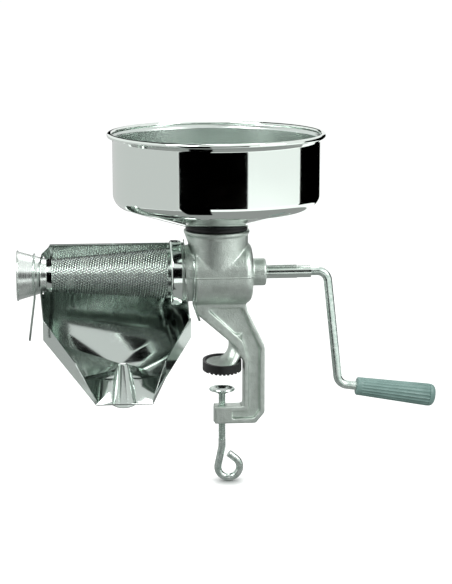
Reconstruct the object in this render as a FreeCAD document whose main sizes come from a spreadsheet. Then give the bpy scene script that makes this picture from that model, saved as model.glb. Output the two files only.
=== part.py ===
# Hand cranked tomato strainer: a cast aluminium body clamps to a table edge and carries a steel bowl,
# a perforated cone with its worm, a juice tray and a bent crank. Millimetres, +Z up, +X towards the crank,
# -Y towards the side where the juice runs off. The origin is the middle of the rubber pad's underside,
# which rests on the table top.
import FreeCAD, Part
import math
import os
import re
import Sketcher
from FreeCAD import Placement, Rotation, Vector

SIZES = [
    ("axis_height", 109.0, "shaft axis above the underside of the clamp pad"),
    ("throat_x", -5.8, "axis of the filling throat and the bowl, from the clamp screw"),
    ("barrel_r", 34.5, "outside of the barrel"),
    ("barrel_bore", 28.5, "bore of the barrel, round the worm"),
    ("barrel_front", -30.6, "front face of the barrel"),
    ("barrel_back", 33.3, "back face of the barrel"),
    ("back_wall", 9.3, "wall at the back of the barrel"),
    ("spigot_r", 31.0, "outside of the spigot that carries the cone"),
    ("spigot_len", 25.8, "spigot in front of the barrel"),
    ("boss_r", 15.0, "outside of the shaft boss"),
    ("boss_len", 14.8, "boss behind the barrel"),
    ("throat_r", 34.5, "outside of the throat at its top"),
    ("throat_foot_r", 33.9, "outside of the throat where it meets the barrel"),
    ("throat_bore", 28.0, "bore of the throat"),
    ("throat_top", 48.0, "top of the throat above the shaft axis"),
    ("throat_lip", 1.5, "how far the lip of the throat stands out"),
    ("arm_depth", 20.0, "depth of the clamp arm's ribs"),
    ("arm_web", 7.0, "thickness of the web between the ribs"),
    ("arm_rib", 5.5, "width of the ribs seen from the side"),
    ("arm_back_x", 46.8, "back edge of the clamp arm"),
    ("arm_front_x", 23.4, "front edge of the upright of the clamp arm"),
    ("arm_knee", 27.1, "knees of the clamp arm above the pad's underside"),
    ("arm_foot", 9.0, "top of the arm's upright front edge above the pad's underside"),
    ("jaw_drop", 41.5, "top of the lower jaw below the pad's underside"),
    ("jaw_height", 19.0, "height of the lower jaw"),
    ("jaw_boss_r", 9.6, "boss round the clamp screw"),
    ("foot_x", 18.5, "half length of the cast foot along the shaft"),
    ("foot_y", 28.5, "half length of the cast foot across the shaft"),
    ("foot_height", 4.5, "edge height of the cast foot"),
    ("pad_wall", 3.0, "wall of the rubber pad round the foot"),
    ("pad_floor", 4.0, "rubber under the foot"),
    ("pad_rise", 1.8, "rubber lip above the edge of the foot"),
    ("groove_width", 1.7, "width of a grip groove under the pad"),
    ("groove_depth", 1.2, "depth of a grip groove under the pad"),
    ("groove_pitch", 4.4, "spacing of the grip grooves"),
    ("groove_count", 8.0, "number of grip grooves"),
    ("seal_height", 5.2, "bowl seal between throat and bowl"),
    ("seal_r", 34.0, "outside of the bowl seal"),
    ("bowl_r", 112.4, "outside of the bowl's wall"),
    ("bowl_sheet", 1.0, "sheet of the bowl"),
    ("bowl_flat_r", 36.0, "flat ring at the middle of the bowl's bottom"),
    ("bowl_slope", 17.5, "slope of the bowl's bottom in degrees"),
    ("bowl_corner", 14.0, "radius between the bottom and the wall"),
    ("bowl_height", 98.0, "top of the bowl's wall above its flat ring"),
    ("bowl_flare", 3.2, "how far the top of the wall flares out"),
    ("rim_bead", 2.7, "radius of the rolled bead on the rim"),
    ("spout_depth", 14.0, "how far the bowl's spigot reaches into the throat"),
    ("spout_wall", 1.0, "wall of the bowl's spigot"),
    ("spout_play", 0.2, "play between the bowl's spigot and the throat"),
    ("shaft_r", 7.4, "drive shaft"),
    ("shaft_back", 97.8, "outer end of the drive shaft"),
    ("shaft_front", -44.0, "inner end of the drive shaft"),
    ("flat_len", 15.2, "length of the two wrench flats"),
    ("flat_half", 6.2, "half the distance across the wrench flats"),
    ("bush_r", 10.5, "outside of the shaft bush"),
    ("bush_flange_r", 14.0, "flange of the shaft bush"),
    ("bush_flange", 1.5, "thickness of that flange"),
    ("running_play", 0.06, "radial play of a turning fit"),
    ("seal_disc_r", 19.0, "outside of the shaft seal"),
    ("seal_disc", 2.5, "thickness of the shaft seal"),
    ("washer_r", 14.0, "outside of the thrust washer"),
    ("washer", 1.5, "thickness of the thrust washer"),
    ("spring_wire", 1.0, "radius of the thrust spring's wire"),
    ("spring_r", 11.0, "radius of the thrust spring to the middle of its wire"),
    ("spring_turns", 3.0, "turns of the thrust spring"),
    ("spring_pitch", 3.0, "pitch of the thrust spring"),
    ("worm_core_r", 14.4, "core of the worm in the barrel"),
    ("worm_tip_r", 5.5, "core of the worm at its tip"),
    ("worm_pitch", 30.0, "pitch of the worm's flight"),
    ("worm_land", 4.0, "thickness of the flight at its edge"),
    ("worm_root", 8.0, "thickness of the flight at the core"),
    ("worm_play", 0.8, "gap between the flight and the wall round it"),
    ("pin_r", 2.0, "cross pin through worm and shaft"),
    ("cone_big", 27.9, "outside of the cone at its collar"),
    ("cone_small", 17.0, "outside of the cone at its nose"),
    ("cone_len", 135.0, "length of the cone"),
    ("cone_sheet", 0.8, "sheet of the cone"),
    ("collar_r", 36.3, "outside of the collar"),
    ("collar_skirt", 12.0, "length of the collar's skirt"),
    ("collar_sheet", 1.0, "sheet of the collar"),
    ("collar_sleeve", 9.0, "length of the sleeve on the spigot"),
    ("nose_len", 31.5, "length of the waste outlet"),
    ("nose_mouth", 26.8, "outside of the outlet's mouth"),
    ("nose_bead", 1.3, "radius of the bead on the mouth"),
    ("band_len", 6.0, "band round the joint of cone and outlet"),
    ("band_sheet", 0.9, "sheet of that band"),
    ("tray_sheet", 1.0, "sheet of the juice tray"),
    ("tray_back", 39.0, "back panel of the tray behind the shaft axis"),
    ("tray_top", 26.0, "top of the back panel above the shaft axis"),
    ("tray_slope", 28.5, "slope of the tray's floor in degrees"),
    ("tray_drop", 67.0, "floor of the tray below the shaft axis, under the axis"),
    ("tray_left", 2.4, "tray's left end at the back panel, from the cone's nose"),
    ("tray_left_knee", -4.6, "tray's left end at its widest, from the cone's nose"),
    ("tray_knee", 7.0, "knees of the tray in front of the shaft axis"),
    ("lip_bend", 63.0, "bend of the pouring lip in front of the shaft axis"),
    ("lip_bend_left", 29.4, "left end of that bend, from the cone's nose"),
    ("lip_bend_right", -35.1, "right end of that bend, from the barrel's front"),
    ("lip_slope", 50.0, "slope of the pouring lip in degrees"),
    ("lip_reach", 83.0, "front edge of the lip in front of the shaft axis"),
    ("lip_left", 51.1, "left end of the lip, from the cone's nose"),
    ("lip_right", -49.9, "right end of the lip, from the barrel's front"),
    ("wall_knee", 22.0, "side wall of the tray at the knee"),
    ("wall_bend", 18.0, "side wall at the lip's bend"),
    ("wall_lip", 5.0, "side wall at the lip"),
    ("hem_r", 1.4, "rolled hem on the top of the back panel"),
    ("groove_x", -0.6, "pouring groove, from the middle of the lip"),
    ("groove_start", 42.0, "start of the pouring groove in front of the shaft axis"),
    ("groove_r_start", 6.0, "radius of the pouring groove at its start"),
    ("groove_r_lip", 16.0, "radius of the pouring groove at the lip"),
    ("groove_sink", 0.35, "depth of the pouring groove as a share of its radius"),
    ("nose_plate_r", 25.0, "round edge of the nose end plate"),
    ("nose_plate_hole", 20.8, "hole of the nose end plate"),
    ("body_plate_r", 37.5, "round edge of the body end plate"),
    ("body_plate_hole", 32.6, "hole of the body end plate"),
    ("body_plate_x", -8.9, "body end plate at the shaft axis, from the barrel's front"),
    ("body_plate_lean", 4.0, "lean of the body end plate in degrees"),
    ("body_plate_turn", 4.0, "turn of the body end plate in degrees"),
    ("clip_wire", 1.2, "radius of the clips' wire"),
    ("nose_clip_x", -13.1, "nose clip along the shaft, from the cone's nose"),
    ("nose_clip_r", 22.95, "ring of the nose clip"),
    ("body_clip_x", -1.8, "body clip along the shaft, from the barrel's front"),
    ("body_clip_r", 33.4, "ring of the body clip"),
    ("rod_r", 4.75, "crank rod"),
    ("rod_bend", 12.0, "middle radius of the crank's bends"),
    ("rod_socket", 14.0, "rod in the end of the shaft"),
    ("crank_x", 116.1, "first bend of the crank"),
    ("crank_lean", 6.4, "lean of the crank's arm in degrees"),
    ("crank_drop", 128.8, "second bend below the shaft axis"),
    ("grip_droop", 8.4, "droop of the grip's axis in degrees"),
    ("grip_start", 20.4, "grip's inner end from the second bend"),
    ("grip_len", 83.0, "fluted length of the grip"),
    ("grip_inner_r", 10.0, "grip at its inner end"),
    ("grip_outer_r", 12.6, "grip at its outer end"),
    ("flute_count", 20.0, "flutes round the grip"),
    ("flute_r", 1.3, "radius of a flute"),
    ("flute_margin", 5.0, "plain grip before the flutes start"),
    ("grip_chamber", 20.0, "chamber at the outer end of the grip"),
    ("grip_chamber_r", 9.0, "radius of that chamber"),
    ("cap_dome", 6.8, "height of the end cap's dome"),
    ("cap_plug", 8.0, "length of the end cap's plug"),
    ("ring_r", 7.6, "outside of the retaining ring on the rod"),
    ("ring_len", 1.4, "thickness of the retaining ring"),
    ("screw_r", 4.0, "clamp screw, M8"),
    ("screw_play", 0.06, "play of the clamp screw in the jaw"),
    ("plate_r", 14.4, "pressure plate"),
    ("plate_len", 2.4, "thickness of the pressure plate"),
    ("plate_hub_r", 6.5, "hub under the pressure plate"),
    ("plate_hub", 3.0, "height of that hub"),
    ("plate_gap", 21.5, "gap between pad and pressure plate"),
    ("tip_r", 3.0, "tip of the clamp screw through the plate"),
    ("rivet_r", 4.6, "riveted head of the clamp screw"),
    ("rivet_len", 1.0, "height of that head"),
    ("recess_r", 6.0, "recess for the riveted head"),
    ("recess_len", 1.3, "depth of that recess"),
    ("eye_neck", 89.0, "top of the eye below the pad's underside"),
    ("eye_bottom", 125.4, "middle of the eye's lowest wire below the pad's underside"),
    ("eye_r", 12.2, "middle radius of the eye"),
    ("eye_x", 7.6, "middle of the eye from the screw's axis"),
    ("eye_end_z", 97.4, "free end of the eye below the pad's underside"),
    ("eye_end_x", 7.6, "free end of the eye from the screw's axis"),
]

doc = FreeCAD.newDocument("tomato_strainer")
sheet = doc.addObject("Spreadsheet::Sheet", "sizes")
for row, (alias, number, meaning) in enumerate(SIZES, start=1):
    sheet.set(f"A{row}", alias)
    sheet.set(f"B{row}", str(number))
    sheet.set(f"C{row}", meaning)
    sheet.setAlias(f"B{row}", alias)
doc.recompute()

ALIASES = {alias for alias, _, _ in SIZES}
MARGIN = 1.0  # how far a cut runs past the face that it opens
nodes = []


def bound(text):
    """The expression with each size's name pointing at its cell."""
    return re.sub(r"[a-z_]+", lambda word: f"sizes.{word[0]}" if word[0] in ALIASES else word[0], text)


def value(text):
    return float(sheet.evalExpression(bound(str(text))))


def bind(item, **sizes):
    """Set properties of an object from the sheet."""
    for name, text in sizes.items():
        item.setExpression(name.replace("__", "."), bound(str(text)))


def new_body(name):
    """A body whose origin lies on the shaft axis, above the clamp screw."""
    body = doc.addObject("PartDesign::Body", name)
    body.Label = name
    body.setExpression("Placement.Base.z", bound("axis_height"))
    nodes.append(body)
    return body


def new_sketch(body, name, plane, x="0", y="0", z="0"):
    """A sketch on one of the body's own planes, moved in that plane's frame."""
    support = next(item for item in body.Origin.OriginFeatures if item.Role == plane)
    sketch = body.newObject("Sketcher::SketchObject", name)
    sketch.AttachmentSupport = [(support, "")]
    sketch.MapMode = "FlatFace"
    for axis, text in (("x", x), ("y", y), ("z", z)):
        if text != "0":
            sketch.setExpression(f"AttachmentOffset.Base.{axis}", bound(text))
    return sketch


def corner_arc(before, corner, after, radius):
    """The two tangent points and the centre of a rounded corner."""
    to_before = (before - corner).normalize()
    to_after = (after - corner).normalize()
    half = to_before.getAngle(to_after) / 2
    reach = radius / math.tan(half)
    middle = (to_before + to_after).normalize()
    return corner + to_before * reach, corner + to_after * reach, corner + middle * (radius / math.sin(half))


def outline(sketch, corners, closed=True):
    """Lines through corners (x, y) or (x, y, radius), each a size or an expression, the round ones as arcs."""
    places = [Vector(value(corner[0]), value(corner[1]), 0) for corner in corners]
    count = len(places)
    starts, ends, arcs = list(places), list(places), {}
    for index, corner in enumerate(corners):
        if len(corner) == 3:
            into, out, centre = corner_arc(places[index - 1], places[index],
                                           places[(index + 1) % count], value(corner[2]))
            ends[index], starts[index], arcs[index] = into, out, centre
    line_of, rules, texts = {}, [], []
    for index in range(count if closed else count - 1):
        line_of[index] = sketch.addGeometry(
            Part.LineSegment(starts[index], ends[(index + 1) % count]), False)

    def hold(kind, geometry, point, text):
        texts.append((len(rules), text))
        rules.append(Sketcher.Constraint(kind, -1, 1, geometry, point, value(text)))

    for index, corner in enumerate(corners):
        before = line_of.get((index - 1) % count)
        after = line_of.get(index)
        if index in arcs:
            from_centre = ends[index] - arcs[index]
            to_out = starts[index] - arcs[index]
            near = 1 if from_centre.cross(to_out).z > 0 else 2
            first, last = (from_centre, to_out) if near == 1 else (to_out, from_centre)
            whole = Part.Circle(arcs[index], Vector(0, 0, 1), value(corner[2]))
            turn = math.atan2(last.y, last.x) - math.atan2(first.y, first.x)
            begin = math.atan2(first.y, first.x)
            arc = Part.ArcOfCircle(whole, begin, begin + turn % (2 * math.pi))
            geometry = sketch.addGeometry(arc, False)
            point = sketch.addGeometry(Part.Point(places[index]), True)
            rules.append(Sketcher.Constraint("Tangent", before, 2, geometry, near))
            rules.append(Sketcher.Constraint("Tangent", geometry, 3 - near, after, 1))
            rules.append(Sketcher.Constraint("PointOnObject", point, 1, before))
            rules.append(Sketcher.Constraint("PointOnObject", point, 1, after))
            hold("DistanceX", point, 1, corner[0])
            hold("DistanceY", point, 1, corner[1])
            texts.append((len(rules), corner[2]))
            rules.append(Sketcher.Constraint("Radius", geometry, value(corner[2])))
            continue
        if before is not None and after is not None:
            rules.append(Sketcher.Constraint("Coincident", before, 2, after, 1))
        geometry, point = (after, 1) if after is not None else (before, 2)
        hold("DistanceX", geometry, point, corner[0])
        hold("DistanceY", geometry, point, corner[1])
    first_rule = sketch.ConstraintCount
    sketch.addConstraint(rules)
    for index, text in texts:
        if re.search("[a-z]", str(text)):
            sketch.setExpression(f"Constraints[{first_rule + index}]", bound(str(text)))


def circle(sketch, x, y, radius):
    """A circle whose centre and radius follow the sheet."""
    centre = Vector(value(x), value(y), 0)
    geometry = sketch.addGeometry(Part.Circle(centre, Vector(0, 0, 1), value(radius)), False)
    first_rule = sketch.ConstraintCount
    sketch.addConstraint([
        Sketcher.Constraint("DistanceX", -1, 1, geometry, 3, value(x)),
        Sketcher.Constraint("DistanceY", -1, 1, geometry, 3, value(y)),
        Sketcher.Constraint("Radius", geometry, value(radius)),
    ])
    for index, text in enumerate((x, y, radius)):
        if re.search("[a-z]", str(text)):
            sketch.setExpression(f"Constraints[{first_rule + index}]", bound(str(text)))


def ellipse(sketch, x, y, half_x, half_y):
    """An upright ellipse, longer along the sketch's y."""
    centre = Vector(value(x), value(y), 0)
    top = centre + Vector(0, value(half_y), 0)
    side = centre - Vector(value(half_x), 0, 0)
    geometry = sketch.addGeometry(Part.Ellipse(top, side, centre), False)
    sketch.exposeInternalGeometry(geometry)
    major, minor = geometry + 1, geometry + 2
    first_rule = sketch.ConstraintCount
    sketch.addConstraint([
        Sketcher.Constraint("DistanceX", -1, 1, geometry, 3, value(x)),
        Sketcher.Constraint("DistanceY", -1, 1, geometry, 3, value(y)),
        Sketcher.Constraint("Distance", major, 2 * value(half_y)),
        Sketcher.Constraint("Distance", minor, 2 * value(half_x)),
        Sketcher.Constraint("Vertical", major),
    ])
    for index, text in enumerate((x, y, f"2 * ({half_y})", f"2 * ({half_x})")):
        if re.search("[a-z]", str(text)):
            sketch.setExpression(f"Constraints[{first_rule + index}]", bound(str(text)))


def revolve(body, name, corners, upright_at=None, cut=False, rings=()):
    """Turn a profile round the shaft axis, or round an upright axis at the given x."""
    sketch = new_sketch(body, name + "_profile", "XZ_Plane", x=upright_at or "0")
    if corners:
        outline(sketch, corners)
    for ring in rings:
        circle(sketch, *ring)
    kind = "Groove" if cut else "Revolution"
    feature = body.newObject("PartDesign::" + kind, name)
    feature.Profile = sketch
    feature.ReferenceAxis = (sketch, ["V_Axis" if upright_at else "H_Axis"])
    feature.Angle = 360
    return feature


def pad(body, name, sketch, length, midplane=False, reverse=False):
    feature = body.newObject("PartDesign::Pad", name)
    feature.Profile = sketch
    feature.Midplane = midplane
    feature.Reversed = reverse
    bind(feature, Length=length)
    return feature


def pocket(body, name, sketch, length, midplane=False, reverse=False):
    feature = body.newObject("PartDesign::Pocket", name)
    feature.Profile = sketch
    feature.Midplane = midplane
    feature.Reversed = reverse
    bind(feature, Length=length)
    return feature


def set_shape(name, shape):
    """A sub-part made from a shape in the shaft frame, lifted to its place."""
    item = doc.addObject("Part::Feature", name)
    item.Label = name
    item.Shape = shape
    item.Placement = Placement(Vector(0, 0, value("axis_height")), Rotation()).multiply(shape.Placement)
    nodes.append(item)
    return item


# The casting: barrel, throat, boss, clamp arm, foot and lower jaw in one piece.
JAW_TOP = "axis_height + jaw_drop"
ARM_OUTER = [
    ("barrel_front + 1", "-(barrel_r - 9)"),
    ("barrel_front + 1", "-(barrel_r + 9)"),
    ("arm_front_x - 9", "-(axis_height - arm_knee)", "16"),
    ("arm_front_x", "-(axis_height - arm_foot)"),
    ("arm_front_x", f"-({JAW_TOP})", "3"),
    ("-jaw_boss_r + 1", f"-({JAW_TOP})"),
    ("-jaw_boss_r + 1", f"-({JAW_TOP} + jaw_height)"),
    ("arm_back_x - 10", f"-({JAW_TOP} + jaw_height)", "3"),
    ("arm_back_x", f"-({JAW_TOP} + jaw_height - 12)", "5"),
    ("arm_back_x", "-(axis_height - arm_knee)", "18"),
    ("barrel_back - 5.7", "-(barrel_r + 8)"),
    ("barrel_back - 9", "-(barrel_r - 9)"),
]
ARM_WINDOW_TOP = [
    ("barrel_front + 13", "-(barrel_r + 4)", "2"),
    ("arm_front_x + arm_rib - 6", "-(axis_height - arm_knee + 0.1 - arm_rib)", "14"),
    ("arm_front_x + arm_rib", "-(axis_height - arm_foot - 2)"),
    ("arm_front_x + arm_rib", f"-({JAW_TOP} + arm_rib)", "4"),
    ("jaw_boss_r + 1", f"-({JAW_TOP} + arm_rib)", "1"),
    ("jaw_boss_r + 1", f"-({JAW_TOP} + jaw_height - arm_rib)", "1"),
    ("arm_back_x - 12", f"-({JAW_TOP} + jaw_height - arm_rib)", "2"),
    ("arm_back_x - arm_rib", f"-({JAW_TOP} + jaw_height - 14)", "4"),
    ("arm_back_x - arm_rib", "-(axis_height - arm_knee + 2.1)", "14"),
    ("barrel_back - 12", "-(barrel_r + 4)", "2"),
]


def build_casting():
    body = new_body("body_casting")
    back = "barrel_back"
    revolve(body, "throat", [
        ("0", "0"),
        ("throat_foot_r", "0"),
        ("throat_r", "throat_top - 4.5"),
        ("throat_r + throat_lip", "throat_top - 3"),
        ("throat_r + throat_lip", "throat_top"),
        ("0", "throat_top"),
    ], upright_at="throat_x")
    relief = new_sketch(body, "throat_relief_outline", "XZ_Plane")
    outline(relief, [
        ("throat_x - throat_r - 3", "throat_top - 4"),
        ("throat_x - throat_r - 0.7", "throat_top - 4"),
        ("barrel_front - 2", "barrel_r - 12.5"),
        ("barrel_front - 2", "-1"),
        ("throat_x - throat_r - 3", "-1"),
    ])
    pocket(body, "throat_relief", relief, "2 * throat_r + 10", midplane=True)
    revolve(body, "barrel", [
        ("barrel_front - spigot_len", "0"),
        ("barrel_front - spigot_len", "spigot_r"),
        ("barrel_front", "spigot_r"),
        ("barrel_front", "barrel_r"),
        (f"{back} - 1.5", "barrel_r", "9"),
        (back, "boss_r"),
        (f"{back} + boss_len", "boss_r", "2"),
        (f"{back} + boss_len", "0"),
    ])
    web = new_sketch(body, "arm_web_outline", "XZ_Plane")
    outline(web, ARM_OUTER)
    pad(body, "arm_web", web, "arm_web", midplane=True)
    ribs = new_sketch(body, "arm_rib_outline", "XZ_Plane")
    outline(ribs, ARM_OUTER)
    outline(ribs, ARM_WINDOW_TOP)
    pad(body, "arm_ribs", ribs, "arm_depth", midplane=True)
    boss = new_sketch(body, "jaw_boss_outline", "XY_Plane", z=f"-({JAW_TOP} + jaw_height)")
    circle(boss, "0", "0", "jaw_boss_r")
    pad(body, "jaw_boss", boss, "jaw_height")
    foot = new_sketch(body, "foot_outline", "XY_Plane", z="-(axis_height - pad_floor)")
    ellipse(foot, "0", "0", "foot_x", "foot_y")
    pad(body, "foot", foot, "foot_height")
    wide = new_sketch(body, "foot_top", "XY_Plane", z="-(axis_height - pad_floor - foot_height)")
    ellipse(wide, "0", "0", "foot_x - 2.6", "foot_y - 3.6")
    waist = new_sketch(body, "foot_waist", "XY_Plane", z="-(axis_height - pad_floor - foot_height - 13)")
    ellipse(waist, "arm_front_x - 9", "0", "8.8", "9.4")
    neck = new_sketch(body, "foot_neck", "XY_Plane", z="-(axis_height - pad_floor - foot_height - 32)")
    ellipse(neck, "arm_front_x - 9.6", "0", "8.6", "8.8")
    flare = body.newObject("PartDesign::AdditiveLoft", "foot_flare")
    flare.Profile = wide
    flare.Sections = [waist, neck]
    flare.Ruled = False
    revolve(body, "barrel_bore", [
        (f"barrel_front - spigot_len - {MARGIN}", "0"),
        (f"barrel_front - spigot_len - {MARGIN}", "barrel_bore"),
        (f"{back} - back_wall", "barrel_bore", "3"),
        (f"{back} - back_wall", "bush_r"),
        (f"{back} + boss_len + {MARGIN}", "bush_r"),
        (f"{back} + boss_len + {MARGIN}", "0"),
    ], cut=True)
    mouth = new_sketch(body, "throat_mouth", "XY_Plane", z="throat_top")
    circle(mouth, "throat_x", "0", "throat_bore")
    pocket(body, "throat_bore_cut", mouth, "throat_top")
    tapped = new_sketch(body, "screw_hole_outline", "XY_Plane", z=f"-({JAW_TOP} - {MARGIN})")
    circle(tapped, "0", "0", "screw_r + screw_play")
    pocket(body, "screw_hole", tapped, f"jaw_height + {2 * MARGIN}")
    return body


def build_pad():
    body = new_body("clamp_pad")
    under = new_sketch(body, "pad_outline", "XY_Plane", z="-axis_height")
    ellipse(under, "0", "0", "foot_x + pad_wall", "foot_y + pad_wall")
    pad(body, "pad_block", under, "pad_floor + foot_height + pad_rise")
    seat = new_sketch(body, "pad_seat", "XY_Plane", z="-(axis_height - pad_floor - foot_height - pad_rise)")
    ellipse(seat, "0", "0", "foot_x", "foot_y")
    pocket(body, "pad_seat_cut", seat, "foot_height + pad_rise")
    rows = new_sketch(body, "groove_outline", "XZ_Plane")
    first = "-(groove_count - 1) / 2 * groove_pitch"
    left, right = f"{first} - groove_width / 2", f"{first} + groove_width / 2"
    outline(rows, [
        (left, f"-(axis_height + {MARGIN})"),
        (left, "-(axis_height - groove_depth)"),
        (right, "-(axis_height - groove_depth)"),
        (right, f"-(axis_height + {MARGIN})"),
    ])
    cut = pocket(body, "grip_groove", rows, "2 * (foot_y + pad_wall + 1)", midplane=True)
    doc.recompute()
    pattern = body.newObject("PartDesign::LinearPattern", "grip_grooves")
    pattern.Originals = [cut]
    pattern.Direction = (rows, ["H_Axis"])
    bind(pattern, Length="(groove_count - 1) * groove_pitch", Occurrences="groove_count")
    body.Tip = pattern
    return body


# The bowl with its spigot and seal.
def build_bowl():
    body = new_body("hopper_bowl")
    low = "throat_top + seal_height"
    spout = "throat_bore - spout_play"
    rise = "(bowl_r - bowl_flat_r) * tan(bowl_slope)"
    top = f"{low} + bowl_height"
    revolve(body, "bowl_shell", [
        (spout, low),
        ("bowl_flat_r", low),
        ("bowl_r", f"{low} + {rise}", "bowl_corner"),
        ("bowl_r", f"{top} - bowl_flare * 1.6", "2.5"),
        ("bowl_r + bowl_flare", top),
        ("bowl_r + bowl_flare - bowl_sheet", f"{top} + bowl_sheet * 0.8"),
        ("bowl_r - bowl_sheet", f"{top} - bowl_flare * 1.2", "3.5"),
        ("bowl_r - bowl_sheet", f"{low} + {rise} + bowl_sheet * 0.74", "bowl_corner - bowl_sheet"),
        ("bowl_flat_r - 0.16", f"{low} + bowl_sheet"),
        (spout, f"{low} + bowl_sheet"),
    ], upright_at="throat_x")
    revolve(body, "bowl_rim", [], upright_at="throat_x",
            rings=[("bowl_r + bowl_flare", f"{top} + rim_bead * 0.3", "rim_bead")])

    spigot = new_body("hopper_spigot")
    revolve(spigot, "spigot_tube", [
        (f"{spout} - spout_wall", "throat_top - spout_depth"),
        (spout, "throat_top - spout_depth"),
        (spout, f"{low} + bowl_sheet"),
        (f"{spout} + 2.2", f"{low} + bowl_sheet"),
        (f"{spout} + 2.2", f"{low} + 2 * bowl_sheet"),
        (f"{spout} - spout_wall", f"{low} + 2 * bowl_sheet", "1"),
    ], upright_at="throat_x")

    seal = new_body("hopper_seal")
    revolve(seal, "seal_ring", [
        (spout, "throat_top"),
        ("seal_r - 0.8", "throat_top"),
        ("seal_r", "throat_top + seal_height / 2"),
        ("seal_r - 0.8", low),
        (spout, low),
    ], upright_at="throat_x")


# Shaft, bush, seal, washer, spring, worm and its pin.
BACK_WALL_X = "barrel_back - back_wall"
SEAL_X = f"{BACK_WALL_X} - bush_flange"
WASHER_X = f"{SEAL_X} - seal_disc"
SPRING_X = f"{WASHER_X} - washer"
HUB_X = f"{SPRING_X} - spring_turns * spring_pitch - 2 * spring_wire"
PIN_X = f"{HUB_X} - 2.5 * pin_r"


def build_drive():
    bush = new_body("shaft_bush")
    play = "shaft_r + running_play"
    revolve(bush, "bush_sleeve", [
        (SEAL_X, play),
        (SEAL_X, "bush_flange_r"),
        (BACK_WALL_X, "bush_flange_r"),
        (BACK_WALL_X, "bush_r"),
        ("barrel_back + boss_len", "bush_r"),
        ("barrel_back + boss_len", play),
    ])
    seal = new_body("shaft_seal")
    revolve(seal, "seal_washer", [
        (WASHER_X, play),
        (WASHER_X, "seal_disc_r"),
        (SEAL_X, "seal_disc_r"),
        (SEAL_X, play),
    ])
    washer = new_body("thrust_washer")
    revolve(washer, "washer_ring", [
        (SPRING_X, play),
        (SPRING_X, "washer_r"),
        (f"{WASHER_X} - running_play", "washer_r"),
        (f"{WASHER_X} - running_play", play),
    ])
    shaft = new_body("drive_shaft")
    revolve(shaft, "shaft_bar", [
        ("shaft_front", "0"),
        ("shaft_front", "shaft_r"),
        ("shaft_back", "shaft_r"),
        ("shaft_back", "rod_r"),
        ("shaft_back - rod_socket", "rod_r"),
        ("shaft_back - rod_socket", "0"),
    ])
    flats = new_sketch(shaft, "flat_outline", "XZ_Plane")
    for side in ("", "-"):
        near, far = f"{side}flat_half", f"{side}(shaft_r + {MARGIN})"
        outline(flats, [
            ("shaft_back - flat_len", near),
            ("shaft_back - flat_len", far),
            (f"shaft_back + {MARGIN}", far),
            (f"shaft_back + {MARGIN}", near),
        ])
    pocket(shaft, "wrench_flats", flats, f"2 * (shaft_r + {MARGIN})", midplane=True)
    hole = new_sketch(shaft, "pin_hole_outline", "XY_Plane")
    circle(hole, PIN_X, "0", "pin_r")
    pocket(shaft, "pin_hole", hole, f"2 * (shaft_r + {MARGIN})", midplane=True)
    pin = new_body("worm_pin")
    round_pin = new_sketch(pin, "pin_outline", "XY_Plane")
    circle(round_pin, PIN_X, "0", "pin_r")
    pad(pin, "pin_bar", round_pin, "2 * worm_core_r - 2", midplane=True)


def flight_section(x, radius, depth, angle):
    """The worm's flight cut through the shaft axis at one angle, wide at the core and narrow at its edge."""
    half_land, half_root = value("worm_land") / 2, value("worm_root") / 2
    low = radius - depth
    places = [(-half_root, low), (-half_land, radius), (half_land, radius), (half_root, low)]
    corners = [Vector(x + along, out * math.sin(angle), out * math.cos(angle)) for along, out in places]
    return Part.makePolygon(corners + corners[:1])


def build_worm():
    """The flight is lofted through sections round the shaft, wide in the barrel and tapering with the cone."""
    hub_x, front = value(HUB_X), value("barrel_front - spigot_len")
    pitch, root, per_turn = value("worm_pitch"), value("worm_root"), 12
    slope = value("(cone_big - cone_small) / cone_len")
    inside = value("cone_big - cone_sheet - worm_play")
    barrel = value("barrel_bore - worm_play")
    depth = inside - value("worm_core_r") + 2
    tip_x = front - value("cone_len") + 4
    start, step = tip_x + root / 2 + 1, front + root / 2
    flights = []
    for first, last, in_cone in ((start, step, True), (step, hub_x - root / 2 - 1, False)):
        count = math.ceil((last - first) / pitch * per_turn)
        sections = []
        for index in range(count + 1):
            x = first + (last - first) * index / count
            radius = inside - slope * (front - x) if in_cone else barrel
            sections.append(flight_section(x, radius, depth + (0 if in_cone else barrel - inside),
                                           2 * math.pi * (x - start) / pitch))
        flights.append(Part.makeLoft(sections, True, True))
    core = Part.Face(Part.makePolygon([
        Vector(tip_x, 0, 0),
        Vector(tip_x, 0, value("worm_tip_r")),
        Vector(front, 0, value("worm_core_r")),
        Vector(hub_x, 0, value("worm_core_r")),
        Vector(hub_x, 0, 0),
        Vector(tip_x, 0, 0),
    ])).revolve(Vector(), Vector(1, 0, 0), 360)
    worm = core.fuse(flights)
    bore = Part.makeCylinder(value("shaft_r"), hub_x - value("shaft_front") + MARGIN,
                             Vector(value("shaft_front"), 0, 0), Vector(1, 0, 0))
    pin_hole = Part.makeCylinder(value("pin_r"), 3 * value("worm_core_r"),
                                 Vector(value(PIN_X), 0, -1.5 * value("worm_core_r")), Vector(0, 0, 1))
    set_shape("worm", worm.cut(bore).cut(pin_hole))


def build_spring():
    """A closed helix of round wire between the thrust washer and the worm's hub."""
    wire = value("spring_wire")
    turns = value("spring_turns")
    path = Part.makeHelix(value("spring_pitch"), value("spring_pitch") * turns, value("spring_r"))
    start = Part.Wire(Part.Circle(Vector(value("spring_r"), 0, 0), Vector(0, 1, 0), wire).toShape())
    coil = Part.Wire(path).makePipeShell([start], True, True)
    coil.rotate(Vector(), Vector(0, 1, 0), 90)
    coil.translate(Vector(value(HUB_X) + wire, 0, 0))
    print("spring: gap between turns", round(value("spring_pitch") - 2 * wire, 2), "mm")
    set_shape("thrust_spring", coil)


# The perforated cone, its collar, its band and the waste outlet.
CONE_X = "barrel_front - spigot_len"
NOSE_X = f"{CONE_X} - cone_len"


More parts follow.
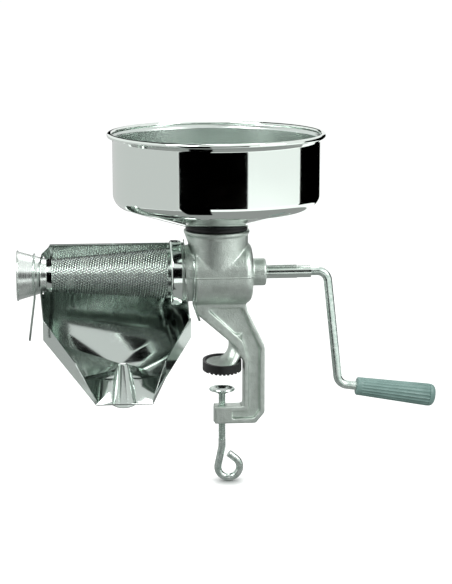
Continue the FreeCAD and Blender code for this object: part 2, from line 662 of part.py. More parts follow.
def build_screen():
    cone = new_body("screen_cone")
    front = "collar_sheet"
    revolve(cone, "cone_sheet", [
        (f"{CONE_X} - {front}", "cone_big"),
        (NOSE_X, "cone_small"),
        (NOSE_X, "cone_small - cone_sheet"),
        (f"{CONE_X} - {front}", "cone_big - cone_sheet"),
    ])
    collar = new_body("screen_collar")
    sheet_x = f"{CONE_X} - collar_sheet"
    revolve(collar, "collar_cup", [
        (sheet_x, "cone_big - cone_sheet"),
        (sheet_x, "collar_r", "2.5"),
        (f"{sheet_x} + collar_skirt", "collar_r"),
        (f"{sheet_x} + collar_skirt", "collar_r - collar_sheet"),
        (CONE_X, "collar_r - collar_sheet", "1.5"),
        (CONE_X, "spigot_r + collar_sheet"),
        (f"{CONE_X} + collar_sleeve", "spigot_r + collar_sheet"),
        (f"{CONE_X} + collar_sleeve", "spigot_r"),
        (CONE_X, "spigot_r"),
        (CONE_X, "cone_big - cone_sheet"),
    ])
    band = new_body("screen_band")
    slope = "(cone_big - cone_small) / (cone_len - collar_sheet)"
    revolve(band, "band_ring", [
        (NOSE_X, "cone_small"),
        (f"{NOSE_X} + band_len", f"cone_small + band_len * {slope}"),
        (f"{NOSE_X} + band_len", f"cone_small + band_len * {slope} + band_sheet"),
        (NOSE_X, "cone_small + band_sheet"),
    ])
    nose = new_body("waste_outlet")
    reach = f"{NOSE_X} - nose_len"
    revolve(nose, "outlet_cone", [
        (NOSE_X, "cone_small - cone_sheet"),
        (NOSE_X, "cone_small + band_sheet"),
        (reach, "nose_mouth"),
        (reach, "nose_mouth - cone_sheet - band_sheet"),
    ])
    revolve(nose, "outlet_bead", [], rings=[(f"{reach} + nose_bead * 0.4", "nose_mouth - 0.5", "nose_bead")])


# The juice tray: back panel, sloping floor, side walls and a pouring lip with a groove.
def plate(corners, thickness):
    """A flat sheet through 3-D corners, half its thickness to each side."""
    wire = Part.makePolygon(corners + corners[:1])
    face = Part.Face(wire)
    normal = face.normalAt(0, 0)
    face.translate(normal * (-thickness / 2))
    return face.extrude(normal * thickness)


class Tray:
    """The places on the folded sheet that its panels share."""

    def __init__(self):
        self.back, self.top = value("tray_back"), value("tray_top")
        self.knee, self.bend, self.lip = value("tray_knee"), value("lip_bend"), value("lip_reach")
        self.floor_tan = math.tan(math.radians(value("tray_slope")))
        self.lip_tan = math.tan(math.radians(value("lip_slope")))
        self.lean = math.tan(math.radians(value("body_plate_lean")))
        self.turn = math.tan(math.radians(value("body_plate_turn")))
        knee_z = self.floor_at(-self.knee)
        self.left = [(self.from_nose("tray_left"), self.back), (self.from_nose("tray_left_knee"), -self.knee),
                     (self.from_nose("lip_bend_left"), -self.bend), (self.from_nose("lip_left"), -self.lip)]
        self.right = [(self.right_at(self.back, self.floor_at(self.back)), self.back),
                      (self.right_at(-self.knee, knee_z), -self.knee),
                      (self.from_barrel("lip_bend_right"), -self.bend),
                      (self.from_barrel("lip_right"), -self.lip)]

    def from_nose(self, text):
        return value(f"{NOSE_X} + {text}")

    def from_barrel(self, text):
        return value(f"barrel_front + {text}")

    def floor_at(self, y):
        if y >= -self.bend:
            return -value("tray_drop") + self.floor_tan * y
        return self.floor_at(-self.bend) + self.lip_tan * (y + self.bend)

    def right_at(self, y, z):
        return self.from_barrel("body_plate_x") + self.turn * y - self.lean * z

    def on_floor(self, place, lift=0.0):
        return Vector(place[0], place[1], self.floor_at(place[1]) + lift)


def end_plate(tray, ring_r, hole_r, centre_x, turn, lean):
    """One end of the tray: round about the shaft axis, and straight along the back panel and the floor."""
    sheet_t, wall = value("tray_sheet"), value("wall_knee")
    rear, low = tray.back - sheet_t / 2, sheet_t * 0.57
    front = -tray.knee + sheet_t / 2
    side = Part.Face(Part.makePolygon([
        Vector(0, 0, ring_r),
        Vector(0, rear - 1, tray.top - 1.5),
        Vector(0, rear, tray.top - 2.5),
        Vector(0, rear, tray.floor_at(rear) + low),
        Vector(0, front, tray.floor_at(front) + low),
        Vector(0, front, tray.floor_at(front) + wall),
        Vector(0, -ring_r * 0.8, -ring_r * 0.6),
        Vector(0, 0, ring_r),
    ])).extrude(Vector(2 * tray.back, 0, 0))
    side.translate(Vector(centre_x - tray.back, 0, 0))
    ring = Part.makeCylinder(ring_r, 2 * tray.back, Vector(centre_x - tray.back, 0, 0), Vector(1, 0, 0))
    hole = Part.makeCylinder(hole_r, 3 * tray.back, Vector(centre_x - 1.5 * tray.back, 0, 0), Vector(1, 0, 0))
    span = 2 * (tray.back + value("tray_drop"))
    flat = Part.makeBox(sheet_t, span, span, Vector(-sheet_t / 2, -span / 2, -span / 2))
    flat.rotate(Vector(), Vector(0, 1, 0), -lean)
    flat.rotate(Vector(), Vector(0, 0, 1), -turn)
    flat.translate(Vector(centre_x, 0, 0))
    return ring.fuse(side).removeSplitter().cut(hole).common(flat)


def pouring_groove(tray):
    """The space over the pressed groove, and the sheet that wraps it under the floor and the lip."""
    sheet_t, start = value("tray_sheet"), -value("groove_start")
    x = (tray.left[3][0] + tray.right[3][0]) / 2 + value("groove_x")
    small, large, sink = value("groove_r_start"), value("groove_r_lip"), value("groove_sink")
    up = Vector(0, -tray.floor_tan, 1).normalize()
    begin = Vector(x, start, tray.floor_at(start)) + up * (small * (1 - sink))
    end = Vector(x, -tray.lip, tray.floor_at(-tray.lip)) + up * (large * (1 - sink))
    way = end - begin
    inner = Part.makeCone(small, large, way.Length, begin, way)
    outer = Part.makeCone(small + sheet_t, large + sheet_t, way.Length, begin, way)
    edge, front = start + 3 * small, -tray.lip - large
    side, deep = x - 4 * large, 4 * large
    under = Part.Face(Part.makePolygon([
        Vector(side, edge, tray.floor_at(edge)),
        Vector(side, -tray.bend, tray.floor_at(-tray.bend)),
        Vector(side, front, tray.floor_at(front)),
        Vector(side, front, tray.floor_at(front) - deep),
        Vector(side, edge, tray.floor_at(front) - deep),
        Vector(side, edge, tray.floor_at(edge)),
    ])).extrude(Vector(8 * large, 0, 0))
    return inner, outer.common(under).cut(inner)


def build_tray():
    tray = Tray()
    sheet_t = value("tray_sheet")
    left, right = tray.left, tray.right
    back_right = tray.right_at(tray.back, tray.top)
    heights = [0, value("wall_knee"), value("wall_bend"), value("wall_lip")]
    panels = [
        plate([tray.on_floor(place) for place in left[:3] + right[2::-1]], sheet_t),
        plate([tray.on_floor(place) for place in (left[2], left[3], right[3], right[2])], sheet_t),
        plate([Vector(left[0][0], tray.back, tray.top), tray.on_floor(left[0]),
               tray.on_floor(right[0]), Vector(back_right, tray.back, tray.top)], sheet_t),
        Part.makeCylinder(value("hem_r"), back_right - left[0][0] - 2,
                          Vector(left[0][0] + 1, tray.back, tray.top), Vector(1, 0, 0)),
    ]
    for edge in (left, right):
        for index in (1, 2):
            panels.append(plate([
                tray.on_floor(edge[index]),
                tray.on_floor(edge[index + 1]),
                tray.on_floor(edge[index + 1], heights[index + 1]),
                tray.on_floor(edge[index], heights[index]),
            ], sheet_t))
            panels.append(Part.makeCylinder(sheet_t / 2, heights[index], tray.on_floor(edge[index])))
    space, trough = pouring_groove(tray)
    span = 2 * (left[2][0] - right[2][0])
    corner = Vector(left[2][0] + span / 4, -2 * tray.lip, -4 * tray.lip)
    front = Part.makeBox(-span, tray.lip, 4 * tray.lip, corner)
    pan = panels[0].fuse(panels[1:]).cut(space).fuse(trough).cut(front)
    set_shape("tray_pan", pan.removeSplitter())
    nose_turn = (left[0][0] - left[1][0]) / (tray.back + tray.knee)
    set_shape("tray_nose_plate", end_plate(
        tray, value("nose_plate_r"), value("nose_plate_hole"), left[0][0] - nose_turn * tray.back,
        math.degrees(math.atan(nose_turn)), 0))
    set_shape("tray_body_plate", end_plate(
        tray, value("body_plate_r"), value("body_plate_hole"), tray.from_barrel("body_plate_x"),
        value("body_plate_turn"), value("body_plate_lean")))


def bent_wire(places, radii):
    """Straight runs through the places, with a tangent arc at each inner one."""
    edges = []
    start = places[0]
    for index in range(1, len(places) - 1):
        into, out, centre = corner_arc(places[index - 1], places[index], places[index + 1], radii[index - 1])
        middle = centre + (places[index] - centre).normalize() * radii[index - 1]
        if start.distanceToPoint(into) > 1e-6:
            edges.append(Part.LineSegment(start, into).toShape())
        edges.append(Part.Arc(into, middle, out).toShape())
        start = out
    edges.append(Part.LineSegment(start, places[-1]).toShape())
    return Part.Wire(edges)


def round_bar(path, radius):
    """A round bar along a wire."""
    first = path.OrderedEdges[0]
    start = first.valueAt(first.FirstParameter)
    along = first.tangentAt(first.FirstParameter)
    profile = Part.Wire(Part.Circle(start, along, radius).toShape())
    bar = path.makePipeShell([profile], True, False)
    section = math.pi * radius ** 2
    print("bar: volume over section times length", round(bar.Volume / (section * path.Length), 4))
    return bar


def build_clips():
    wire_r = value("clip_wire")
    for name, x, ring_r, tail_dx, tail_drop, first_deg, last_deg in (
        ("nose_clip", value(f"{NOSE_X} + nose_clip_x"), value("nose_clip_r"), -6.5, 49.0, -118.0, 142.0),
        ("body_clip", value("barrel_front + body_clip_x"), value("body_clip_r"), 7.0, 20.0, 55.0, 148.0),
    ):
        first, last = math.radians(first_deg), math.radians(last_deg)

        def on_ring(angle):
            return Vector(x, -ring_r * math.sin(angle), ring_r * math.cos(angle))

        middle = on_ring((first + last) / 2)
        ring = Part.Arc(on_ring(first), middle, on_ring(last)).toShape()
        leaving = Vector(0, -math.cos(last), -math.sin(last))
        run = on_ring(last) + leaving * 6
        tail = run + Vector(tail_dx, 2, -tail_drop)
        drop = bent_wire([on_ring(last), run, tail], [5.0])
        path = Part.Wire([ring] + list(drop.OrderedEdges))
        set_shape(name, round_bar(path, wire_r))


# The crank rod, its grip and what holds the grip on the rod.
def grip_body(name):
    """A body whose X axis is the grip's axis, from the crank's second bend."""
    body = new_body(name)
    body.setExpression("Placement.Base.x", bound("crank_x + crank_drop * tan(crank_lean)"))
    body.setExpression("Placement.Base.z", bound("axis_height - crank_drop"))
    body.Placement.Rotation = Rotation(Vector(0, 1, 0), value("grip_droop"))
    body.setExpression("Placement.Rotation.Angle", bound("grip_droop"))
    return body


GRIP_END = "grip_start + grip_len"
RING_S = f"{GRIP_END} - grip_chamber + 2"


def build_crank():
    rod = new_body("crank_rod")
    path = new_sketch(rod, "rod_path", "XZ_Plane")
    droop = "grip_droop"
    outline(path, [
        ("shaft_back - rod_socket", "0"),
        ("crank_x", "0", "rod_bend"),
        ("crank_x + crank_drop * tan(crank_lean)", "-crank_drop", "rod_bend"),
        (f"crank_x + crank_drop * tan(crank_lean) + ({RING_S} + 3) * cos({droop})",
         f"-crank_drop - ({RING_S} + 3) * sin({droop})"),
    ], closed=False)
    section = new_sketch(rod, "rod_section", "YZ_Plane", z="shaft_back - rod_socket")
    circle(section, "0", "0", "rod_r")
    bar = rod.newObject("PartDesign::AdditivePipe", "rod_bar")
    bar.Profile = section
    bar.Spine = path

    ring = grip_body("grip_retaining_ring")
    revolve(ring, "ring_disc", [
        (RING_S, "rod_r"),
        (RING_S, "ring_r"),
        (f"{RING_S} + ring_len", "ring_r"),
        (f"{RING_S} + ring_len", "rod_r"),
    ])
    grip = grip_body("crank_grip")
    bore = "rod_r + running_play"
    slope = "(grip_outer_r - grip_inner_r) / grip_len"
    revolve(grip, "grip_sleeve", [
        ("grip_start", bore),
        ("grip_start", "grip_inner_r", "1.5"),
        (GRIP_END, "grip_outer_r"),
        (GRIP_END, "grip_chamber_r"),
        (f"{GRIP_END} - grip_chamber", "grip_chamber_r"),
        (f"{GRIP_END} - grip_chamber", bore),
    ])
    line = new_sketch(grip, "flute_line", "XZ_Plane")
    flute_from = "grip_start + flute_margin"
    outline(line, [
        (flute_from, f"grip_inner_r + flute_margin * {slope} + flute_r * 0.45"),
        (f"{GRIP_END} + {MARGIN}", f"grip_outer_r + {MARGIN} * {slope} + flute_r * 0.45"),
    ], closed=False)
    flute = new_sketch(grip, "flute_section", "YZ_Plane", z=flute_from)
    circle(flute, "0", f"grip_inner_r + flute_margin * {slope} + flute_r * 0.45", "flute_r")
    cut = grip.newObject("PartDesign::SubtractivePipe", "flute")
    cut.Profile = flute
    cut.Spine = line
    doc.recompute()
    pattern = grip.newObject("PartDesign::PolarPattern", "flutes")
    pattern.Originals = [cut]
    pattern.Axis = (line, ["H_Axis"])
    pattern.Angle = 360
    bind(pattern, Occurrences="flute_count")
    grip.Tip = pattern
    cap = grip_body("grip_end_cap")
    revolve(cap, "cap_dome_profile", [
        (f"{GRIP_END} - cap_plug", "0"),
        (f"{GRIP_END} - cap_plug", "grip_chamber_r"),
        (GRIP_END, "grip_chamber_r"),
        (GRIP_END, "grip_outer_r - 0.2"),
        (f"{GRIP_END} + cap_dome", "grip_outer_r - 0.2", "cap_dome - 0.6"),
        (f"{GRIP_END} + cap_dome", "0"),
    ])


# The clamp screw with its eye, and the pressure plate that it carries.
PLATE_TOP = "-(axis_height + plate_gap)"


def build_clamp():
    plate_body = new_body("pressure_plate")
    revolve(plate_body, "plate_disc", [
        ("tip_r + running_play", f"{PLATE_TOP} - plate_len - plate_hub"),
        ("plate_hub_r", f"{PLATE_TOP} - plate_len - plate_hub"),
        ("plate_hub_r", f"{PLATE_TOP} - plate_len"),
        ("plate_r - 0.6", f"{PLATE_TOP} - plate_len"),
        ("plate_r", f"{PLATE_TOP} - plate_len * 0.6"),
        ("plate_r - 1", PLATE_TOP),
        ("recess_r", PLATE_TOP),
        ("recess_r", f"{PLATE_TOP} - recess_len"),
        ("tip_r + running_play", f"{PLATE_TOP} - recess_len"),
    ], upright_at="0.0")
    screw = new_body("clamp_screw")
    path = new_sketch(screw, "screw_path", "XZ_Plane")
    shoulder = f"{PLATE_TOP} - plate_len - plate_hub - running_play"
    outline(path, [
        ("0", shoulder),
        ("0", "-(axis_height + eye_neck)", "eye_r"),
        ("eye_x - eye_r * 1.23", "-(axis_height + eye_bottom)", "eye_r"),
        ("eye_x + eye_r * 2.82", "-(axis_height + eye_bottom)", "eye_r"),
        ("eye_end_x", "-(axis_height + eye_end_z)"),
    ], closed=False)
    section = new_sketch(screw, "screw_section", "XY_Plane", z=shoulder)
    circle(section, "0", "0", "screw_r")
    bar = screw.newObject("PartDesign::AdditivePipe", "screw_bar")
    bar.Profile = section
    bar.Spine = path
    revolve(screw, "screw_tip", [
        ("0", f"{shoulder} - 1"),
        ("tip_r", f"{shoulder} - 1"),
        ("tip_r", f"{PLATE_TOP} - recess_len + running_play"),
        ("rivet_r", f"{PLATE_TOP} - recess_len + running_play"),
        ("rivet_r", f"{PLATE_TOP} - recess_len + running_play + rivet_len"),
        ("0", f"{PLATE_TOP} - recess_len + running_play + rivet_len"),
    ], upright_at="0.0")


build_casting()
build_pad()
build_bowl()
build_drive()
build_worm()
build_spring()
build_screen()
build_tray()
build_clips()
build_crank()
build_clamp()
doc.recompute()

for item in doc.Objects:
    if "Invalid" in item.State or "Error" in item.State:
        raise RuntimeError(f"{item.Name} did not build: {item.State}")
os.makedirs("parts", exist_ok=True)
for item in nodes:
    shape = item.Shape
    if shape.isNull() or not shape.isValid():
        raise RuntimeError(f"{item.Label} is not a valid shape")
    shape.exportStep(f"parts/{item.Label}.step")
    print(item.Label, "solids", len(shape.Solids), "volume", round(shape.Volume, 1))
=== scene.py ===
# Tomato strainer on its table clamp: bowl, perforated cone, juice tray and bent crank.
# Lengths are millimetres in the part's own frame, measured along the shaft (x), across it (y) and up from
# the shaft's axis (z), and are turned to metres as each piece is made.
import math

import bmesh
import bpy
from mathutils import Matrix, Vector


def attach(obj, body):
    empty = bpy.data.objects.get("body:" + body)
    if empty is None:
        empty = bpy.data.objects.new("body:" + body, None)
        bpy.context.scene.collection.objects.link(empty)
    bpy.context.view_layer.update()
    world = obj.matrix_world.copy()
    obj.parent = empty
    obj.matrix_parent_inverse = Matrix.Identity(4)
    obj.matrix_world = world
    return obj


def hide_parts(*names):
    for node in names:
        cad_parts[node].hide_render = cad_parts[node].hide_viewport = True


mm = 0.001
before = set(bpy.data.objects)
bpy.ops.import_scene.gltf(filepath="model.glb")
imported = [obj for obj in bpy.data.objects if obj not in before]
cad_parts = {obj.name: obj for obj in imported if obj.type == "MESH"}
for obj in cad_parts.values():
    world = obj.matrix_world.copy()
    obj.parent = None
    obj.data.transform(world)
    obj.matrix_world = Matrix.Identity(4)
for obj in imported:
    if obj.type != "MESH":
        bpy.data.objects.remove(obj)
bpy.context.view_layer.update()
axisHeight = 109.0  # shaft axis above the clamp pad's underside
throatX = -5.8  # axis of throat and bowl
noseX = -191.4  # small end of the cone
mergeGap = 0.000004  # metres, below which two points of a mesh are one
print("frame loaded:", len(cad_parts), "solids")


# camera, first, so that everything else can be judged through it
cameraPlace = {
    "aim": (4.5, 0.0, 87.0),  # from the pad's underside
    "distance": 1900.0,
    "raised": 11.6,  # degrees
    "turned": 5.0,  # degrees towards the waste outlet
    "lens": 137.6,
}


def makeCamera(place):
    raised = math.radians(place["raised"])
    turned = math.radians(place["turned"])
    out = Vector((
        -math.sin(turned) * math.cos(raised),
        -math.cos(turned) * math.cos(raised),
        math.sin(raised),
    ))
    data = bpy.data.cameras.new("photoCamera")
    data.sensor_fit = "HORIZONTAL"
    data.sensor_width = 36.0
    data.lens = place["lens"]
    data.clip_end = 30.0
    camera = bpy.data.objects.new("photoCamera", data)
    camera.location = (Vector(place["aim"]) + out * place["distance"]) * mm
    camera.rotation_euler = (-out).to_track_quat("-Z", "Y").to_euler()
    bpy.context.scene.collection.objects.link(camera)
    bpy.context.scene.camera = camera


makeCamera(cameraPlace)
print("camera set")


# finishes
def hexColour(code):
    channels = [int(code[i:i + 2], 16) / 255 for i in (1, 3, 5)]
    return [c / 12.92 if c <= 0.04045 else ((c + 0.055) / 1.055) ** 2.4 for c in channels] + [1.0]


def addNode(tree, kind, links=None, **settings):
    node = tree.nodes.new(kind)
    for name, given in settings.items():
        setattr(node, name, given)
    for socket, given in (links or {}).items():
        if isinstance(given, bpy.types.NodeSocket):
            tree.links.new(given, node.inputs[socket])
        else:
            node.inputs[socket].default_value = given
    return node


def newMaterial(name, colour, metallic, roughness):
    material = bpy.data.materials.new(name)
    material.use_nodes = True
    tree = material.node_tree
    surface = tree.nodes["Principled BSDF"]
    surface.inputs["Base Color"].default_value = hexColour(colour)
    surface.inputs["Metallic"].default_value = metallic
    surface.inputs["Roughness"].default_value = roughness
    place = addNode(tree, "ShaderNodeTexCoord").outputs["Object"]
    return material, tree, surface, place


def twoTone(tree, factor, low, high, lowColour, highColour):
    tint = addNode(tree, "ShaderNodeValToRGB", {"Fac": factor})
    tint.color_ramp.elements[0].position = low
    tint.color_ramp.elements[0].color = hexColour(lowColour)
    tint.color_ramp.elements[1].position = high
    tint.color_ramp.elements[1].color = hexColour(highColour)
    return tint.outputs["Color"]


def linkLook(tree, surface, dull, bump, colour=None):
    tree.links.new(dull.outputs["Result"], surface.inputs["Roughness"])
    tree.links.new(bump.outputs["Normal"], surface.inputs["Normal"])
    if colour is not None:
        tree.links.new(colour, surface.inputs["Base Color"])


castLook = {
    "low": "#c3cec6",
    "high": "#d6e0d9",
    "grain": 1.5,  # sand grain left in the skin, and how deep its pits look
    "grainDepth": 0.6,
    "swell": 9.0,  # slow unevenness of the sand, and its depth
    "swellDepth": 2.0,
    "flash": 0.9,  # reach of the parting line above and below the shaft's axis, and its height
    "flashHeight": 0.6,
    "smoothest": 0.32,  # roughness, which changes from grain to grain
    "roughest": 0.5,
}


def castAluminium(look):
    # sand cast and tumbled aluminium: soft silver grey, satin, with a pebbled skin and a parting line
    material, tree, surface, place = newMaterial("castAluminium", look["high"], 1.0, 0.45)
    grain = addNode(tree, "ShaderNodeTexNoise", {
        "Vector": place,
        "Scale": 1 / (look["grain"] * mm),
        "Detail": 4.0,
        "Roughness": 0.55,
    })
    swell = addNode(tree, "ShaderNodeTexNoise", {
        "Vector": place,
        "Scale": 1 / (look["swell"] * mm),
        "Detail": 3.0,
    })
    parts = addNode(tree, "ShaderNodeSeparateXYZ", {"Vector": place})
    off = addNode(tree, "ShaderNodeMath", {0: parts.outputs["Z"], 1: -axisHeight * mm}, operation="ADD")
    away = addNode(tree, "ShaderNodeMath", {0: off.outputs["Value"]}, operation="ABSOLUTE")
    line = addNode(tree, "ShaderNodeMapRange", {
        "Value": away.outputs["Value"],
        "From Max": look["flash"] * mm,
        "To Min": 1.0,
        "To Max": 0.0,
    }, interpolation_type="SMOOTHSTEP")
    colour = twoTone(tree, swell.outputs["Fac"], 0.3, 0.7, look["low"], look["high"])
    dull = addNode(tree, "ShaderNodeMapRange", {
        "Value": grain.outputs["Fac"],
        "To Min": look["smoothest"],
        "To Max": look["roughest"],
    })
    pits = addNode(tree, "ShaderNodeBump", {
        "Height": grain.outputs["Fac"],
        "Strength": 0.7,
        "Distance": look["grainDepth"] * mm,
    })
    waves = addNode(tree, "ShaderNodeBump", {
        "Height": swell.outputs["Fac"],
        "Strength": 0.25,
        "Distance": look["swellDepth"] * mm,
        "Normal": pits.outputs["Normal"],
    })
    flash = addNode(tree, "ShaderNodeBump", {
        "Height": line.outputs["Result"],
        "Strength": 0.9,
        "Distance": look["flashHeight"] * mm,
        "Normal": waves.outputs["Normal"],
    })
    linkLook(tree, surface, dull, flash, colour)
    return material


def workedSteel(name, colour, roughness, lineGap, along, relief):
    # stainless sheet or bar: polishing lines, lineGap apart along one axis, over a faint haze
    material, tree, surface, place = newMaterial(name, colour, 1.0, roughness)
    lineScale, drawnOut, hazeScale = 1 / (lineGap * mm), 6.0, 45.0  # per metre
    mapped = addNode(tree, "ShaderNodeMapping", {
        "Vector": place,
        "Scale": [lineScale if axis == along else drawnOut for axis in "XYZ"],
    })
    lines = addNode(tree, "ShaderNodeTexNoise", {
        "Vector": mapped.outputs["Vector"],
        "Scale": 1.0,
        "Detail": 3.0,
    })
    haze = addNode(tree, "ShaderNodeTexNoise", {"Vector": place, "Scale": hazeScale, "Detail": 3.0})
    both = addNode(tree, "ShaderNodeMath", {
        0: lines.outputs["Fac"],
        1: haze.outputs["Fac"],
    }, operation="MULTIPLY")
    dull = addNode(tree, "ShaderNodeMapRange", {
        "Value": both.outputs["Value"],
        "From Min": 0.1,
        "From Max": 0.45,
        "To Min": roughness * 0.7,
        "To Max": roughness * 1.4,
    })
    bump = addNode(tree, "ShaderNodeBump", {
        "Height": lines.outputs["Fac"],
        "Strength": relief,
        "Distance": 0.1 * mm,
    })
    linkLook(tree, surface, dull, bump)
    return material


def brushedRound(name, colour, roughness, lineGap):
    # the bowl's inside, polished while it turned: fine rings about the bowl's axis, lineGap apart
    material, tree, surface, place = newMaterial(name, colour, 1.0, roughness)
    moved = addNode(tree, "ShaderNodeMapping", {"Vector": place, "Location": (-throatX * mm, 0, 0)})
    parts = addNode(tree, "ShaderNodeSeparateXYZ", {"Vector": moved.outputs["Vector"]})
    flat = addNode(tree, "ShaderNodeCombineXYZ", {"X": parts.outputs["X"], "Y": parts.outputs["Y"]})
    reach = addNode(tree, "ShaderNodeVectorMath", {0: flat.outputs["Vector"]}, operation="LENGTH")
    both = addNode(tree, "ShaderNodeMath", {
        0: reach.outputs["Value"],
        1: parts.outputs["Z"],
    }, operation="ADD")
    ring = addNode(tree, "ShaderNodeCombineXYZ", {"X": both.outputs["Value"]})
    lines = addNode(tree, "ShaderNodeTexNoise", {
        "Vector": ring.outputs["Vector"],
        "Scale": 1 / (lineGap * mm),
        "Detail": 4.0,
    })
    dull = addNode(tree, "ShaderNodeMapRange", {
        "Value": lines.outputs["Fac"],
        "To Min": roughness * 0.75,
        "To Max": roughness * 1.3,
    })
    bump = addNode(tree, "ShaderNodeBump", {
        "Height": lines.outputs["Fac"],
        "Strength": 0.12,
        "Distance": 0.2 * mm,
    })
    linkLook(tree, surface, dull, bump)
    return material


def zincPlate(name, low, high, cloudSize):
    # bright zinc on drawn steel bar: clouded patches about cloudSize across
    material, tree, surface, place = newMaterial(name, high, 1.0, 0.25)
    cloud = addNode(tree, "ShaderNodeTexNoise", {
        "Vector": place,
        "Scale": 1 / (cloudSize * mm),
        "Detail": 4.0,
    })
    colour = twoTone(tree, cloud.outputs["Fac"], 0.3, 0.7, low, high)
    dull = addNode(tree, "ShaderNodeMapRange", {
        "Value": cloud.outputs["Fac"],
        "To Min": 0.14,
        "To Max": 0.34,
    })
    bump = addNode(tree, "ShaderNodeBump", {
        "Height": cloud.outputs["Fac"],
        "Strength": 0.2,
        "Distance": 0.4 * mm,
    })
    linkLook(tree, surface, dull, bump, colour)
    return material


def moulded(name, low, high, roughness, grainSize):
    # moulded plastic or rubber: even colour, and a spark-eroded grain grainSize across
    material, tree, surface, place = newMaterial(name, high, 0.0, roughness)
    grain = addNode(tree, "ShaderNodeTexNoise", {
        "Vector": place,
        "Scale": 1 / (grainSize * mm),
        "Detail": 3.0,
    })
    cloudScale = 60.0  # per metre
    cloud = addNode(tree, "ShaderNodeTexNoise", {"Vector": place, "Scale": cloudScale, "Detail": 2.0})
    colour = twoTone(tree, cloud.outputs["Fac"], 0.35, 0.7, low, high)
    dull = addNode(tree, "ShaderNodeMapRange", {
        "Value": grain.outputs["Fac"],
        "To Min": roughness * 0.85,
        "To Max": roughness * 1.15,
    })
    bump = addNode(tree, "ShaderNodeBump", {
        "Height": grain.outputs["Fac"],
        "Strength": 0.25,
        "Distance": 0.1 * mm,
    })
    linkLook(tree, surface, dull, bump, colour)
    return material


finish = {
    "cast": castAluminium(castLook),
    "mirror": workedSteel("mirrorSteel", "#e4ede7", 0.06, 0.5, "Z", 0.03),
    "inside": brushedRound("brushedBowlInside", "#d0d9d4", 0.24, 0.6),
    "tray": workedSteel("brightTraySheet", "#b9c2bd", 0.12, 0.8, "Z", 0.05),
    "cone": workedSteel("perforatedSheet", "#cbd8d0", 0.2, 0.5, "X", 0.06),
    # painted shade: the cone's inner side and hole edges get a dark colour for the shadow inside the cone
    "coneInsideShade": workedSteel("paintedShadeConeInside", "#3c4742", 0.4, 0.5, "X", 0.06),
    "collar": workedSteel("polishedCollar", "#e0eae4", 0.12, 0.5, "X", 0.05),
    "outlet": workedSteel("satinOutlet", "#e6eee9", 0.26, 0.5, "X", 0.05),
    "wire": workedSteel("springWire", "#c6d2cb", 0.22, 0.4, "X", 0.05),
    "shaft": workedSteel("turnedShaft", "#d3ded7", 0.2, 0.4, "X", 0.08),
    "worm": workedSteel("turnedWormAluminium", "#c3cdc7", 0.34, 0.7, "X", 0.1),
    "zinc": zincPlate("zincPlate", "#b4c8be", "#e6f1eb", 5.0),
    "rubber": moulded("mouldedRubber", "#050808", "#0c1211", 0.5, 0.4),
    "grip": moulded("greyGreenPlastic", "#6d8a84", "#809d97", 0.42, 0.35),
    "acetal": moulded("whiteAcetal", "#d9dcd6", "#eceee9", 0.35, 0.4),
}
print("finishes made")


# small makers shared by the pieces
def finishPiece(name, bm, finishes, body, replaces=(), sharpAngle=32.0, recalc=True):
    bmesh.ops.remove_doubles(bm, verts=bm.verts, dist=mergeGap)
    if recalc:
        bmesh.ops.recalc_face_normals(bm, faces=bm.faces)
    mesh = bpy.data.meshes.new(name)
    bm.to_mesh(mesh)
    bm.free()
    mesh.shade_smooth()
    mesh.set_sharp_from_angle(angle=math.radians(sharpAngle))
    for finishName in finishes:
        mesh.materials.append(finish[finishName])
    piece = bpy.data.objects.new(name, mesh)
    bpy.context.scene.collection.objects.link(piece)
    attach(piece, body)
    if replaces:
        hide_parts(*replaces)
    return piece


def turnProfile(bm, corners, upright=False, closed=True, steps=128, segments=8):
    # corners are (along, radius) or (along, radius, rounding), about the shaft or about an upright axis
    before = set(bm.verts)
    verts = []
    for corner in corners:
        along, radius = corner[0] * mm, corner[1] * mm
        verts.append(bm.verts.new((radius, 0, along) if upright else (along, 0, radius)))
    for first, second in zip(verts, verts[1:]):
        bm.edges.new((first, second))
    if closed:
        bm.edges.new((verts[-1], verts[0]))
    for vert, corner in zip(verts, corners):
        if len(corner) == 3:
            sides = [edge.other_vert(vert).co - vert.co for edge in vert.link_edges]
            reach = corner[2] * mm / math.tan(sides[0].angle(sides[1]) / 2)
            bmesh.ops.bevel(bm, geom=[vert], offset=reach, affect="VERTICES", segments=segments, profile=0.5,
                            material=-1)
    profile = [vert for vert in bm.verts if vert not in before]
    edges = {edge for vert in profile for edge in vert.link_edges}
    axis = (0, 0, 1) if upright else (1, 0, 0)
    bmesh.ops.spin(bm, geom=profile + list(edges), cent=(0, 0, 0), axis=axis, angle=math.tau, steps=steps,
                   use_merge=True)


def lift(bm, x=0.0):
    bmesh.ops.translate(bm, verts=bm.verts, vec=(x * mm, 0, axisHeight * mm))


